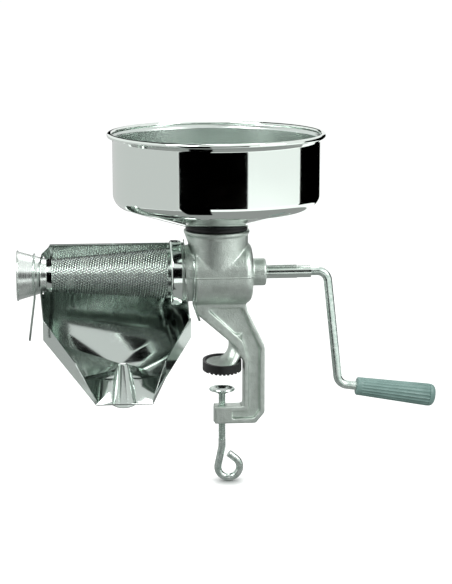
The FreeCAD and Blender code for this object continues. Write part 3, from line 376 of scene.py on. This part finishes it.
def sweepRod(bm, radius, corners, sides=32):
    # a round bar past corners (x, z) or (x, z, bend radius), in the plane of the crank
    places = [Vector((corner[0], 0, corner[1])) * mm for corner in corners]
    headings = [(b - a).normalized() for a, b in zip(places, places[1:])]
    turn = Vector((0, 0, 1)).rotation_difference(headings[0]).to_matrix().to_4x4()
    made = bmesh.ops.create_circle(bm, segments=sides, radius=radius * mm, cap_ends=False,
                                   matrix=Matrix.Translation(places[0]) @ turn)
    ring = list({edge for vert in made["verts"] for edge in vert.link_edges})
    bmesh.ops.contextual_create(bm, geom=ring)
    place, used = places[0], 0.0
    for index, heading in enumerate(headings):
        run = (places[index + 1] - places[index]).length - used
        angle = 0.0
        if index + 1 < len(headings):
            after = headings[index + 1]
            angle = math.copysign(heading.angle(after), Vector((0, 1, 0)).dot(heading.cross(after)))
            bend = corners[index + 1][2] * mm
            used = bend * math.tan(abs(angle) / 2)
            run -= used
        out = bmesh.ops.extrude_edge_only(bm, edges=ring)["geom"]
        verts = [item for item in out if isinstance(item, bmesh.types.BMVert)]
        bmesh.ops.translate(bm, verts=verts, vec=heading * run)
        place = place + heading * run
        ring = [item for item in out if isinstance(item, bmesh.types.BMEdge)
                and item.verts[0] in verts and item.verts[1] in verts]
        if angle:
            centre = place + Vector((0, 1, 0)).cross(heading) * math.copysign(bend, angle)
            steps = max(4, round(math.degrees(abs(angle)) / 5))
            out = bmesh.ops.spin(bm, geom=verts + ring, cent=centre, axis=(0, 1, 0), angle=angle,
                                 steps=steps)["geom_last"]
            ring = [item for item in out if isinstance(item, bmesh.types.BMEdge)]
            place = centre + Matrix.Rotation(angle, 3, "Y") @ (place - centre)
    bmesh.ops.contextual_create(bm, geom=ring)


def copyNode(node, body, finishName, sharpAngle=30.0):
    # the solid's own mesh, with its loose triangles joined so that curved sheet and wire shade smoothly
    bm = bmesh.new()
    bm.from_mesh(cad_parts[node].data)
    return finishPiece(node + "Skin", bm, [finishName], body, [node], sharpAngle, recalc=False)


# the bowl
bowl = {
    "seat": 53.2,  # flat ring above the shaft axis
    "spout": 27.8,
    "flat": 36.0,
    "radius": 112.4,
    "slope": 17.5,
    "corner": 14.0,
    "height": 98.0,
    "flare": 3.2,
    "sheet": 1.0,
    "bead": 2.7,
}


def makeBowl(size):
    low, sheet, radius = size["seat"], size["sheet"], size["radius"]
    rise = (radius - size["flat"]) * math.tan(math.radians(size["slope"]))
    top = low + size["height"]
    bm = bmesh.new()
    turnProfile(bm, [
        (low, size["spout"]),
        (low, size["flat"], 4.0),
        (low + rise, radius, size["corner"]),
        (top - size["flare"] * 1.6, radius, 2.5),
        (top, radius + size["flare"]),
        (top + 0.8, radius + size["flare"] - sheet),
        (top - size["flare"] * 1.2, radius - sheet, 3.5),
        (low + rise + 0.74, radius - sheet, size["corner"] - sheet),
        (low + sheet, size["flat"] - 0.16, 4.0),
        (low + sheet, size["spout"]),
    ], upright=True, steps=192)
    bmesh.ops.remove_doubles(bm, verts=bm.verts, dist=mergeGap)
    bmesh.ops.recalc_face_normals(bm, faces=bm.faces)
    for face in bm.faces:
        centre = face.calc_center_median()
        outward = Vector((centre.x, centre.y, 0)).normalized()
        face.material_index = 1 if face.normal.dot(outward) < -0.02 or face.normal.z > 0.5 else 0
    middle, out = top + size["bead"] * 0.3, radius + size["flare"]
    rim = [(middle + size["bead"] * math.sin(turn), out + size["bead"] * math.cos(turn))
           for turn in (math.tau * i / 16 for i in range(16))]
    turnProfile(bm, rim, upright=True, steps=192)
    lift(bm, throatX)
    finishPiece("bowlShell", bm, ["mirror", "inside"], "frame", ["hopper_bowl"])


makeBowl(bowl)
print("bowl made")


# perforated cone: a flat sheet of rhombic cells is punched, then rolled about the cone's apex
cone = {
    "bigRadius": 27.9,
    "smallRadius": 17.0,
    "back": -57.4,
    "front": noseX,
    "pitch": 3.1,  # the real sheet's is nearer 2.2, which is too fine to show at the photograph's size
    "hole": 2.1,
    "sheet": 0.7,
    "margin": 3.2,
    "clear": 1.4,  # from the sheet's ends to the middle of the first row of holes
    "lap": 5.0,  # width of the plain welded lap along the back
    "lapLift": 0.12,
}


def makeCone(size):
    length = size["back"] - size["front"]
    drop = size["bigRadius"] - size["smallRadius"]
    lean = drop / math.hypot(length, drop)  # sine of the half angle
    near, far = size["smallRadius"] / lean, size["bigRadius"] / lean
    half = math.pi * lean
    pitch = size["pitch"]
    rowGap = pitch * math.sqrt(3) / 2
    low = near * math.cos(half) - pitch
    rows = math.ceil((far + pitch - low) / rowGap)
    columns = math.ceil(2 * far * math.sin(half) / pitch + rows / 2) + 4
    bm = bmesh.new()
    bmesh.ops.create_grid(bm, x_segments=columns, y_segments=rows, size=0.5)
    bmesh.ops.scale(bm, vec=(columns * pitch, rows * rowGap, 1), verts=bm.verts)
    shear = Matrix(((1, math.tan(math.radians(30)), 0, 0), (0, 1, 0, 0), (0, 0, 1, 0), (0, 0, 0, 1)))
    bmesh.ops.transform(bm, matrix=shear, verts=bm.verts)
    bmesh.ops.translate(bm, verts=bm.verts, vec=(0, low + rows * rowGap / 2, 0))
    seam = size["lap"] * 0.3  # the punched field runs a little under the lap
    loose = []
    for face in bm.faces:
        centre = face.calc_center_median()
        reach, swing = math.hypot(centre.x, centre.y), abs(math.atan2(centre.x, centre.y))
        if not (near + size["clear"] < reach < far - size["clear"] and swing < half - seam / reach):
            loose.append(face)
    bmesh.ops.delete(bm, geom=loose, context="FACES")
    middleOf = bm.verts.layers.float_vector.new("middleOf")  # each rim point keeps its own hole's middle
    cells = list(bm.faces)
    bmesh.ops.inset_individual(bm, faces=cells, thickness=pitch * 0.15, use_even_offset=True)
    for face in cells:
        middle = face.calc_center_median()
        for vert in face.verts:
            vert[middleOf] = middle
            vert.co = middle + (vert.co - middle).normalized() * size["hole"] / 2
    rims = list({edge for face in cells for edge in face.edges})
    bmesh.ops.delete(bm, geom=cells, context="FACES_ONLY")
    bmesh.ops.subdivide_edges(bm, edges=rims, cuts=1)
    for vert in bm.verts:
        if vert[middleOf].length > 0:
            vert.co = vert[middleOf] + (vert.co - vert[middleOf]).normalized() * size["hole"] / 2
    bm.verts.layers.float_vector.remove(middleOf)
    for vert in bm.verts:
        reach = math.hypot(vert.co.x, vert.co.y)
        swing = math.atan2(vert.co.x, vert.co.y) / lean + math.pi
        along = size["front"] + (reach - near) * math.sqrt(1 - lean * lean)
        vert.co = Vector((along, reach * lean * math.sin(swing), reach * lean * math.cos(swing))) * mm
    bm.normal_update()
    sample = next(iter(bm.faces))
    if sample.normal.dot(Vector((0, *sample.calc_center_median()[1:]))) < 0:
        bmesh.ops.reverse_faces(bm, faces=bm.faces)
    lift(bm)
    punched = finishPiece("perforatedCone", bm, ["cone", "coneInsideShade"], "frame",
                          ["screen_cone"], sharpAngle=70, recalc=False)
    wall = punched.modifiers.new("sheetThickness", "SOLIDIFY")
    wall.thickness = size["sheet"] * mm
    wall.offset = -1.0
    wall.material_offset = 1  # the holes' edges and the inner side are dull, and their dark colour is painted shade
    wall.material_offset_rim = 1

    plain = bmesh.new()
    slope = drop / length
    noseMargin = (size["front"], size["front"] + size["margin"])
    collarMargin = (size["back"] - size["margin"], size["back"])
    for start, end in (noseMargin, collarMargin):
        first = size["smallRadius"] + (start - size["front"]) * slope
        last = size["smallRadius"] + (end - size["front"]) * slope
        turnProfile(plain, [
            (start, first + 0.1),
            (end, last + 0.1),
            (end, last - size["sheet"] - 0.1),
            (start, first - size["sheet"] - 0.1),
        ], steps=96)
    lift(plain)
    finishPiece("coneMargins", plain, ["cone"], "frame")

    strip = bmesh.new()
    rings = []
    noseEnd = (size["front"] + 0.4, size["smallRadius"])
    collarEnd = (size["back"] - 0.4, size["bigRadius"])
    for along, radius in (noseEnd, collarEnd):
        out = radius + size["lapLift"]
        turns = [math.pi + size["lap"] * (i / 6 - 0.5) / radius for i in range(7)]
        places = [Vector((along, out * math.sin(turn), out * math.cos(turn))) * mm for turn in turns]
        ring = [strip.verts.new(place) for place in places]
        rings += [strip.edges.new(pair) for pair in zip(ring, ring[1:])]
    bmesh.ops.bridge_loops(strip, edges=rings)
    bmesh.ops.recalc_face_normals(strip, faces=strip.faces)
    bmesh.ops.solidify(strip, geom=strip.faces, thickness=(size["sheet"] + 2 * size["lapLift"]) * mm)
    lift(strip)
    finishPiece("coneSeam", strip, ["cone"], "frame")


makeCone(cone)
print("cone rolled and punched")


# collar, band and waste outlet
collar = {
    "face": -57.4,
    "bore": 27.1,
    "outside": 36.3,
    "skirt": 12.0,
    "sheet": 1.0,
    "sleeve": 9.0,
    "spigot": 31.0,
}
band = {"length": 6.0, "sheet": 0.9, "edge": 0.35}
outlet = {"reach": 31.5, "inside": 16.2, "outside": 17.9, "mouth": 26.8, "sheet": 0.9, "bead": 1.3}


def makeCollar(size):
    face, outside, sheet = size["face"], size["outside"], size["sheet"]
    bm = bmesh.new()
    turnProfile(bm, [
        (face, size["bore"]),
        (face, outside, 2.5),
        (face + size["skirt"], outside, 0.4),
        (face + size["skirt"], outside - sheet, 0.4),
        (face + sheet, outside - sheet, 1.5),
        (face + sheet, size["spigot"] + sheet, 0.5),
        (face + sheet + size["sleeve"], size["spigot"] + sheet),
        (face + sheet + size["sleeve"], size["spigot"]),
        (face + sheet, size["spigot"]),
        (face + sheet, size["bore"]),
    ])
    lift(bm)
    finishPiece("collarCup", bm, ["collar"], "frame", ["screen_collar"])


def makeNose(ring, nose):
    slope = (cone["bigRadius"] - cone["smallRadius"]) / (cone["back"] - cone["front"])
    near, far = cone["smallRadius"], cone["smallRadius"] + ring["length"] * slope
    bm = bmesh.new()
    turnProfile(bm, [
        (noseX, near + 0.1),
        (noseX + ring["length"], far + 0.1),
        (noseX + ring["length"], far + ring["sheet"], ring["edge"]),
        (noseX, near + ring["sheet"], ring["edge"]),
    ])
    lift(bm)
    finishPiece("coneBand", bm, ["collar"], "frame", ["screen_band"])
    reach, mouth = noseX - nose["reach"], nose["mouth"]
    bm = bmesh.new()
    turnProfile(bm, [
        (noseX, nose["inside"]),
        (noseX, nose["outside"], 0.5),
        (noseX - 4.0, nose["outside"] + 1.1, 6.0),
        (reach, mouth),
        (reach, mouth - nose["sheet"]),
        (noseX - 4.0, nose["inside"] + 1.1, 5.0),
    ])
    bead = [(reach + nose["bead"] * (0.4 + math.cos(turn)), mouth - 0.5 + nose["bead"] * math.sin(turn))
            for turn in (math.tau * i / 12 for i in range(12))]
    turnProfile(bm, bead)
    lift(bm)
    finishPiece("wasteOutlet", bm, ["outlet"], "frame", ["waste_outlet"])


makeCollar(collar)
makeNose(band, outlet)
print("collar, band and outlet made")


# casting: the solid's mesh gets the soft corners and the uneven skin that sand casting leaves
casting = {"grid": 0.95, "softness": 0.5, "passes": 3}


def makeCasting(size):
    bm = bmesh.new()
    bm.from_mesh(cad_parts["body_casting"].data)
    bmesh.ops.remove_doubles(bm, verts=bm.verts, dist=mergeGap)
    piece = finishPiece("castBody", bm, ["cast"], "frame", ["body_casting"], recalc=False)
    grid = piece.modifiers.new("castSkin", "REMESH")
    grid.mode = "VOXEL"
    grid.voxel_size = size["grid"] * mm
    grid.use_smooth_shade = True
    soft = piece.modifiers.new("softCorners", "SMOOTH")
    soft.factor = size["softness"]
    soft.iterations = size["passes"]


makeCasting(casting)
print("casting made")


# crank: rod, fluted grip and its cap
crank = {
    "rod": 4.75,
    "start": 83.8,
    "bend": 12.0,
    "firstX": 116.1,
    "secondX": 130.547,
    "drop": 128.8,
    "droop": 8.4,
    "end": 88.4,
}
grip = {
    "start": 20.4,
    "length": 83.0,
    "inner": 10.0,
    "outer": 12.6,
    "bore": 4.81,
    "chamber": 20.0,
    "chamberRadius": 9.0,
    "flutes": 20,
    "fluteWidth": 0.46,  # share of the pitch round the grip
    "fluteDepth": 0.75,
    "plain": 5.0,
    "dome": 6.8,
    "plug": 8.0,
}


def gripMatrix(size):
    place = Vector((size["secondX"], 0, axisHeight - size["drop"])) * mm
    return Matrix.Translation(place) @ Matrix.Rotation(math.radians(size["droop"]), 4, "Y")


def makeCrank(size):
    droop = math.radians(size["droop"])
    bm = bmesh.new()
    sweepRod(bm, size["rod"], [
        (size["start"], 0),
        (size["firstX"], 0, size["bend"]),
        (size["secondX"], -size["drop"], size["bend"]),
        (size["secondX"] + size["end"] * math.cos(droop), -size["drop"] - size["end"] * math.sin(droop)),
    ])
    lift(bm)
    finishPiece("crankRod", bm, ["zinc"], "crank", ["crank_rod"])


def gripRing(bm, count, along, radius):
    place = Matrix.Translation((along * mm, 0, 0)) @ Matrix.Rotation(math.pi / 2, 4, "Y")
    verts = bmesh.ops.create_circle(bm, segments=count, radius=radius * mm, matrix=place)["verts"]
    return verts, list({edge for vert in verts for edge in vert.link_edges})


def makeGrip(size):
    bm = bmesh.new()
    perFlute = 6
    count = size["flutes"] * perFlute
    start, end = size["start"], size["start"] + size["length"]
    sections = [
        # place along the rod, change of radius, share of the flutes' depth
        (start, -1.4, 0.0),
        (start + 0.5, -0.5, 0.0),
        (start + 1.5, 0.0, 0.0),
        (start + size["plain"] - 0.8, 0.0, 0.0),
        (start + size["plain"] + 0.8, 0.0, 0.7),
        (start + size["plain"] + 2.0, 0.0, 1.0),
        ((start + end) / 2, 0.0, 1.0),
        (end - 0.3, 0.0, 1.0),
        (end, -0.3, 1.0),
    ]
    rings = []
    for along, shrink, depth in sections:
        radius = size["inner"] + (size["outer"] - size["inner"]) * (along - start) / size["length"] + shrink
        verts, edges = gripRing(bm, count, along, radius)
        for vert in verts:
            around = math.atan2(vert.co.y, vert.co.z) * size["flutes"] / math.tau
            offset = abs(around - round(around)) / size["fluteWidth"]
            if offset < 1 and depth:
                out = Vector((0, vert.co.y, vert.co.z))
                vert.co -= out.normalized() * size["fluteDepth"] * depth * math.sqrt(1 - offset * offset) * mm
        rings.append(edges)
    inner = []
    step = end - size["chamber"]
    bore = [
        (end, size["chamberRadius"]),
        (step, size["chamberRadius"]),
        (step, size["bore"]),
        (start, size["bore"]),
    ]
    for along, radius in bore:
        inner.append(gripRing(bm, count, along, radius)[1])
    chain = rings + inner + rings[:1]
    for first, second in zip(chain, chain[1:]):
        bmesh.ops.bridge_loops(bm, edges=first + second)
    bmesh.ops.transform(bm, matrix=gripMatrix(crank), verts=bm.verts)
    finishPiece("flutedGrip", bm, ["grip"], "grip", ["crank_grip"], sharpAngle=50)

    bm = bmesh.new()
    turnProfile(bm, [
        (end - size["plug"], 0),
        (end - size["plug"], size["chamberRadius"]),
        (end, size["chamberRadius"]),
        (end, size["outer"] - 0.2, 0.3),
        (end + size["dome"], size["outer"] - 0.2, size["dome"] - 0.8),
        (end + size["dome"], 0),
    ], closed=False, steps=96, segments=12)
    bmesh.ops.transform(bm, matrix=gripMatrix(crank), verts=bm.verts)
    finishPiece("gripCap", bm, ["grip"], "grip", ["grip_end_cap"])


makeCrank(crank)
makeGrip(grip)
print("crank and grip made")


# clamp screw: thread, plain shank, bent eye, and the riveted tip in the pressure plate
screw = {
    "shoulder": -135.96,
    "neck": -198.0,
    "bottom": -234.4,
    "bend": 12.2,
    "cornerNear": 1.23,  # corners that the eye is bent round, from its middle and in bend radii
    "cornerFar": 2.82,
    "eyeX": 7.6,
    "endX": 7.6,
    "endZ": -206.4,
    "radius": 4.0,
    "core": 3.35,
    "pitch": 1.25,
    "threadEnd": -190.0,
    "tip": 3.0,
    "rivet": 4.6,
    "rivetTop": -131.74,
}


def makeScrew(size):
    bm = bmesh.new()
    top, bottom, pitch = size["shoulder"], size["threadEnd"], size["pitch"]
    turns = math.ceil((top - bottom) / pitch) + 2
    start = bottom - pitch
    thread = [
        # share of the pitch, radius
        (0.0, size["core"]),
        (0.12, size["core"]),
        (0.44, size["radius"]),
        (0.56, size["radius"]),
        (0.88, size["core"]),
        (1.0, size["core"]),
    ]
    profile = [bm.verts.new(Vector((radius, 0, start + pitch * share)) * mm) for share, radius in thread]
    edges = [bm.edges.new(pair) for pair in zip(profile, profile[1:])]
    steps = 16
    bmesh.ops.spin(bm, geom=profile + edges, cent=(0, 0, 0), axis=(0, 0, 1), angle=math.tau * turns,
                   steps=steps * turns, dvec=(0, 0, pitch / steps * mm))
    bmesh.ops.remove_doubles(bm, verts=bm.verts, dist=0.00001)
    for height, side in ((top, 1), (bottom, -1)):
        bmesh.ops.bisect_plane(bm, geom=bm.verts[:] + bm.edges[:] + bm.faces[:], plane_co=(0, 0, height * mm),
                               plane_no=(0, 0, side), clear_outer=True)
    bmesh.ops.holes_fill(bm, edges=[edge for edge in bm.edges if edge.is_boundary], sides=0)
    turnProfile(bm, [
        (top - 1.0, 0),
        (top - 1.0, size["tip"]),
        (size["rivetTop"] - 1.0, size["tip"]),
        (size["rivetTop"] - 1.0, size["rivet"], 0.2),
        (size["rivetTop"], size["rivet"], 0.5),
        (size["rivetTop"], 0),
    ], upright=True, closed=False, steps=32, segments=3)
    sweepRod(bm, size["radius"], [
        (0, bottom + 0.6),
        (0, size["neck"], size["bend"]),
        (size["eyeX"] - size["bend"] * size["cornerNear"], size["bottom"], size["bend"]),
        (size["eyeX"] + size["bend"] * size["cornerFar"], size["bottom"], size["bend"]),
        (size["endX"], size["endZ"]),
    ], sides=28)
    lift(bm)
    finishPiece("clampScrew", bm, ["zinc"], "screw", ["clamp_screw"])


makeScrew(screw)
print("clamp screw made")


# solids that keep their own shape, with their curved faces joined and their finishes
dressed = [
    # node, body, slot, finish, sharp angle
    ("tray_pan", "frame", "tray_steel", "tray", 25.0),
    ("tray_nose_plate", "frame", "tray_steel", "tray", 30.0),
    ("tray_body_plate", "frame", "tray_steel", "tray", 30.0),
    ("nose_clip", "frame", "spring_wire", "wire", 60.0),
    ("body_clip", "frame", "spring_wire", "wire", 60.0),
    ("hopper_seal", "frame", "black_rubber", "rubber", 40.0),
    ("hopper_spigot", "frame", "polished_steel", "inside", 40.0),
    ("clamp_pad", "frame", "black_rubber", "rubber", 40.0),
    ("shaft_bush", "frame", "white_acetal", "acetal", 40.0),
    ("drive_shaft", "crank", "plated_steel", "shaft", 30.0),
    ("worm", "crank", "worm_aluminium", "worm", 40.0),
    ("pressure_plate", "plate", "plated_steel", "zinc", 30.0),
]
hidden = {
    "shaft_seal": "rubber",
    "thrust_washer": "acetal",
    "thrust_spring": "wire",
    "worm_pin": "shaft",
    "grip_retaining_ring": "wire",
}
for node, body, slotName, finishName, sharpAngle in dressed:
    copyNode(node, body, finishName, sharpAngle)
for node, finishName in hidden.items():
    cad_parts[node].data.materials.clear()
    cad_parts[node].data.materials.append(finish[finishName])
print("solids dressed")


# floor, light and what the steel reflects, with heights from the pad's underside
studio = {
    "floor": -129.6,  # under the eye of the clamp screw
    "paper": "#a9adab",  # grey paper, which glows for the camera and for the steel until it looks white
    "paperGlow": 0.82,
    "worldLight": 0.5,
    "footX": 7.6,  # where the eye stands, and how far the painted shadow round its foot reaches
    "paintedShadowReach": 26.0,
    "uprights": [
        # turned from and to, in degrees from the camera's side, then distance, foot, top and brightness
        (-37.8, -6.0, 605.0, -129.0, 430.0, 0.0),
        (-6.0, 31.0, 605.0, 36.0, 430.0, 0.0),
        (100.0, 158.0, 1000.0, -129.0, 520.0, 0.0),
        (-176.0, -160.0, 1000.0, -129.0, 520.0, 0.0),
        (-160.0, -38.5, 640.0, -129.0, 260.0, 0.66),
    ],
    "ceiling": (-500.0, -30.0, -260.0, 2600.0, 900.0),  # left, right, front, back, height
    "darkGround": (-37.8, -6.0, 250.0, 605.0),  # turned from and to, near, far
    "greyGround": (600.0, 0.34),  # reach and brightness of the ground right under the strainer
}
lamps = [
    # place, size, strength in watts, all aimed at the middle of the strainer
    ((-900.0, -900.0, 1300.0), 900.0, 18.0),
    ((1100.0, -700.0, 900.0), 700.0, 9.0),
    ((0.0, 700.0, 1500.0), 900.0, 8.0),
]


def cameraSees(tree):
    # 1 for camera, glossy and transmission rays, 0 for the light that falls on the strainer
    path = addNode(tree, "ShaderNodeLightPath")
    direct = addNode(tree, "ShaderNodeMath", {
        0: path.outputs["Is Camera Ray"],
        1: path.outputs["Is Glossy Ray"],
    }, operation="MAXIMUM")
    seen = addNode(tree, "ShaderNodeMath", {
        0: direct.outputs["Value"],
        1: path.outputs["Is Transmission Ray"],
    }, operation="MAXIMUM")
    return seen.outputs["Value"]


def whitePaper(size):
    white = bpy.data.materials.new("paperFloor")
    white.use_nodes = True
    tree = white.node_tree
    surface = tree.nodes["Principled BSDF"]
    surface.inputs["Base Color"].default_value = hexColour(size["paper"])
    surface.inputs["Roughness"].default_value = 0.9
    surface.inputs["Specular IOR Level"].default_value = 0.0
    surface.inputs["Emission Color"].default_value = (1, 1, 1, 1)
    place = addNode(tree, "ShaderNodeTexCoord").outputs["Object"]
    moved = addNode(tree, "ShaderNodeMapping", {"Vector": place, "Location": (-size["footX"] * mm, 0, 0)})
    flat = addNode(tree, "ShaderNodeVectorMath", {
        0: moved.outputs["Vector"],
        1: (1, 1, 0),
    }, operation="MULTIPLY")
    away = addNode(tree, "ShaderNodeVectorMath", {0: flat.outputs["Vector"]}, operation="LENGTH")
    # painted shadow: the paper's glow fades to nothing towards the eye's foot, so the floor there reads
    # darker
    near = addNode(tree, "ShaderNodeMapRange", {
        "Value": away.outputs["Value"],
        "From Max": size["paintedShadowReach"] * mm,
        "To Min": 0.0,
        "To Max": size["paperGlow"],
    }, interpolation_type="SMOOTHSTEP")
    glow = addNode(tree, "ShaderNodeMath", {
        0: cameraSees(tree),
        1: near.outputs["Result"],
    }, operation="MULTIPLY")
    tree.links.new(glow.outputs["Value"], surface.inputs["Emission Strength"])
    return white


def cardMaterial(name, glow):
    card = bpy.data.materials.new(name)
    card.use_nodes = True
    surface = card.node_tree.nodes["Principled BSDF"]
    surface.inputs["Base Color"].default_value = (0, 0, 0, 1)
    surface.inputs["Specular IOR Level"].default_value = 0.0
    surface.inputs["Emission Color"].default_value = (1, 1, 1, 1)
    surface.inputs["Emission Strength"].default_value = glow
    return card


def stageCard(bm, material):
    # a card that only the gloss sees
    mesh = bpy.data.meshes.new("darkCard")
    bm.to_mesh(mesh)
    bm.free()
    mesh.materials.append(material)
    card = bpy.data.objects.new("darkCard", mesh)
    bpy.context.scene.collection.objects.link(card)
    card.visible_camera = False
    card.visible_diffuse = False
    card.visible_shadow = False
    card.visible_transmission = False


def sweepCard(first, last, start, end, material):
    # a curved card swept about the strainer between two (distance, height) edges
    bm = bmesh.new()
    turn = math.radians(first - 90 - cameraPlace["turned"])
    ends = [bm.verts.new(Vector((far * math.cos(turn), far * math.sin(turn), height)) * mm)
            for far, height in (start, end)]
    edge = bm.edges.new(ends)
    bmesh.ops.spin(bm, geom=ends + [edge], cent=(0, 0, 0), axis=(0, 0, 1), angle=math.radians(last - first),
                   steps=24)
    stageCard(bm, material)


def makeWorld(size):
    world = bpy.data.worlds.new("whiteStudio")
    bpy.context.scene.world = world
    world.use_nodes = True
    tree = world.node_tree
    background = tree.nodes["Background"]
    background.inputs["Color"].default_value = (1, 1, 1, 1)
    strength = addNode(tree, "ShaderNodeMapRange", {
        "Value": cameraSees(tree),
        "To Min": size["worldLight"],
        "To Max": 1.0,
    })
    tree.links.new(strength.outputs["Result"], background.inputs["Strength"])


def makeFloor(size):
    bm = bmesh.new()
    bmesh.ops.create_grid(bm, x_segments=4, y_segments=4, size=30.0)
    bmesh.ops.translate(bm, verts=bm.verts, vec=(0, 0, size["floor"] * mm))
    mesh = bpy.data.meshes.new("floor")
    bm.to_mesh(mesh)
    bm.free()
    mesh.materials.append(whitePaper(size))
    floor = bpy.data.objects.new("floor", mesh)
    bpy.context.scene.collection.objects.link(floor)


def makeCards(size):
    # they give the polished steel its dark and light bands
    black = cardMaterial("blackCard", 0.0)
    for first, last, distance, low, high, glow in size["uprights"]:
        material = cardMaterial("greyCard", glow) if glow else black
        sweepCard(first, last, (distance, low), (distance, high), material)
    first, last, near, far = size["darkGround"]
    ground = size["floor"] + 1.0
    sweepCard(first, last, (near, ground), (far, ground), black)
    left, right, front, back, height = size["ceiling"]
    bm = bmesh.new()
    bmesh.ops.create_grid(bm, x_segments=1, y_segments=1, size=1.0)
    bmesh.ops.scale(bm, vec=((right - left) / 2 * mm, (back - front) / 2 * mm, 1), verts=bm.verts)
    middle = Vector(((right + left) / 2, (back + front) / 2, height)) * mm
    bmesh.ops.translate(bm, vec=middle, verts=bm.verts)
    stageCard(bm, black)
    reach, glow = size["greyGround"]
    bm = bmesh.new()
    bmesh.ops.create_circle(bm, cap_ends=True, segments=64, radius=reach * mm)
    bmesh.ops.translate(bm, vec=(0, 0, (size["floor"] + 0.5) * mm), verts=bm.verts)
    stageCard(bm, cardMaterial("greyGround", glow))


def makeLamps(places):
    aim = Vector((0, 0, axisHeight)) * mm
    for index, (place, size, power) in enumerate(places):
        data = bpy.data.lights.new(f"softLamp{index + 1}", "AREA")
        data.shape = "DISK"
        data.size = size * mm
        data.energy = power
        lamp = bpy.data.objects.new(f"softLamp{index + 1}", data)
        lamp.location = Vector(place) * mm
        lamp.rotation_euler = (aim - lamp.location).to_track_quat("-Z", "Y").to_euler()
        bpy.context.scene.collection.objects.link(lamp)


makeWorld(studio)
makeFloor(studio)
makeCards(studio)
makeLamps(lamps)
bpy.context.scene.view_settings.view_transform = "Standard"
print("studio lit")
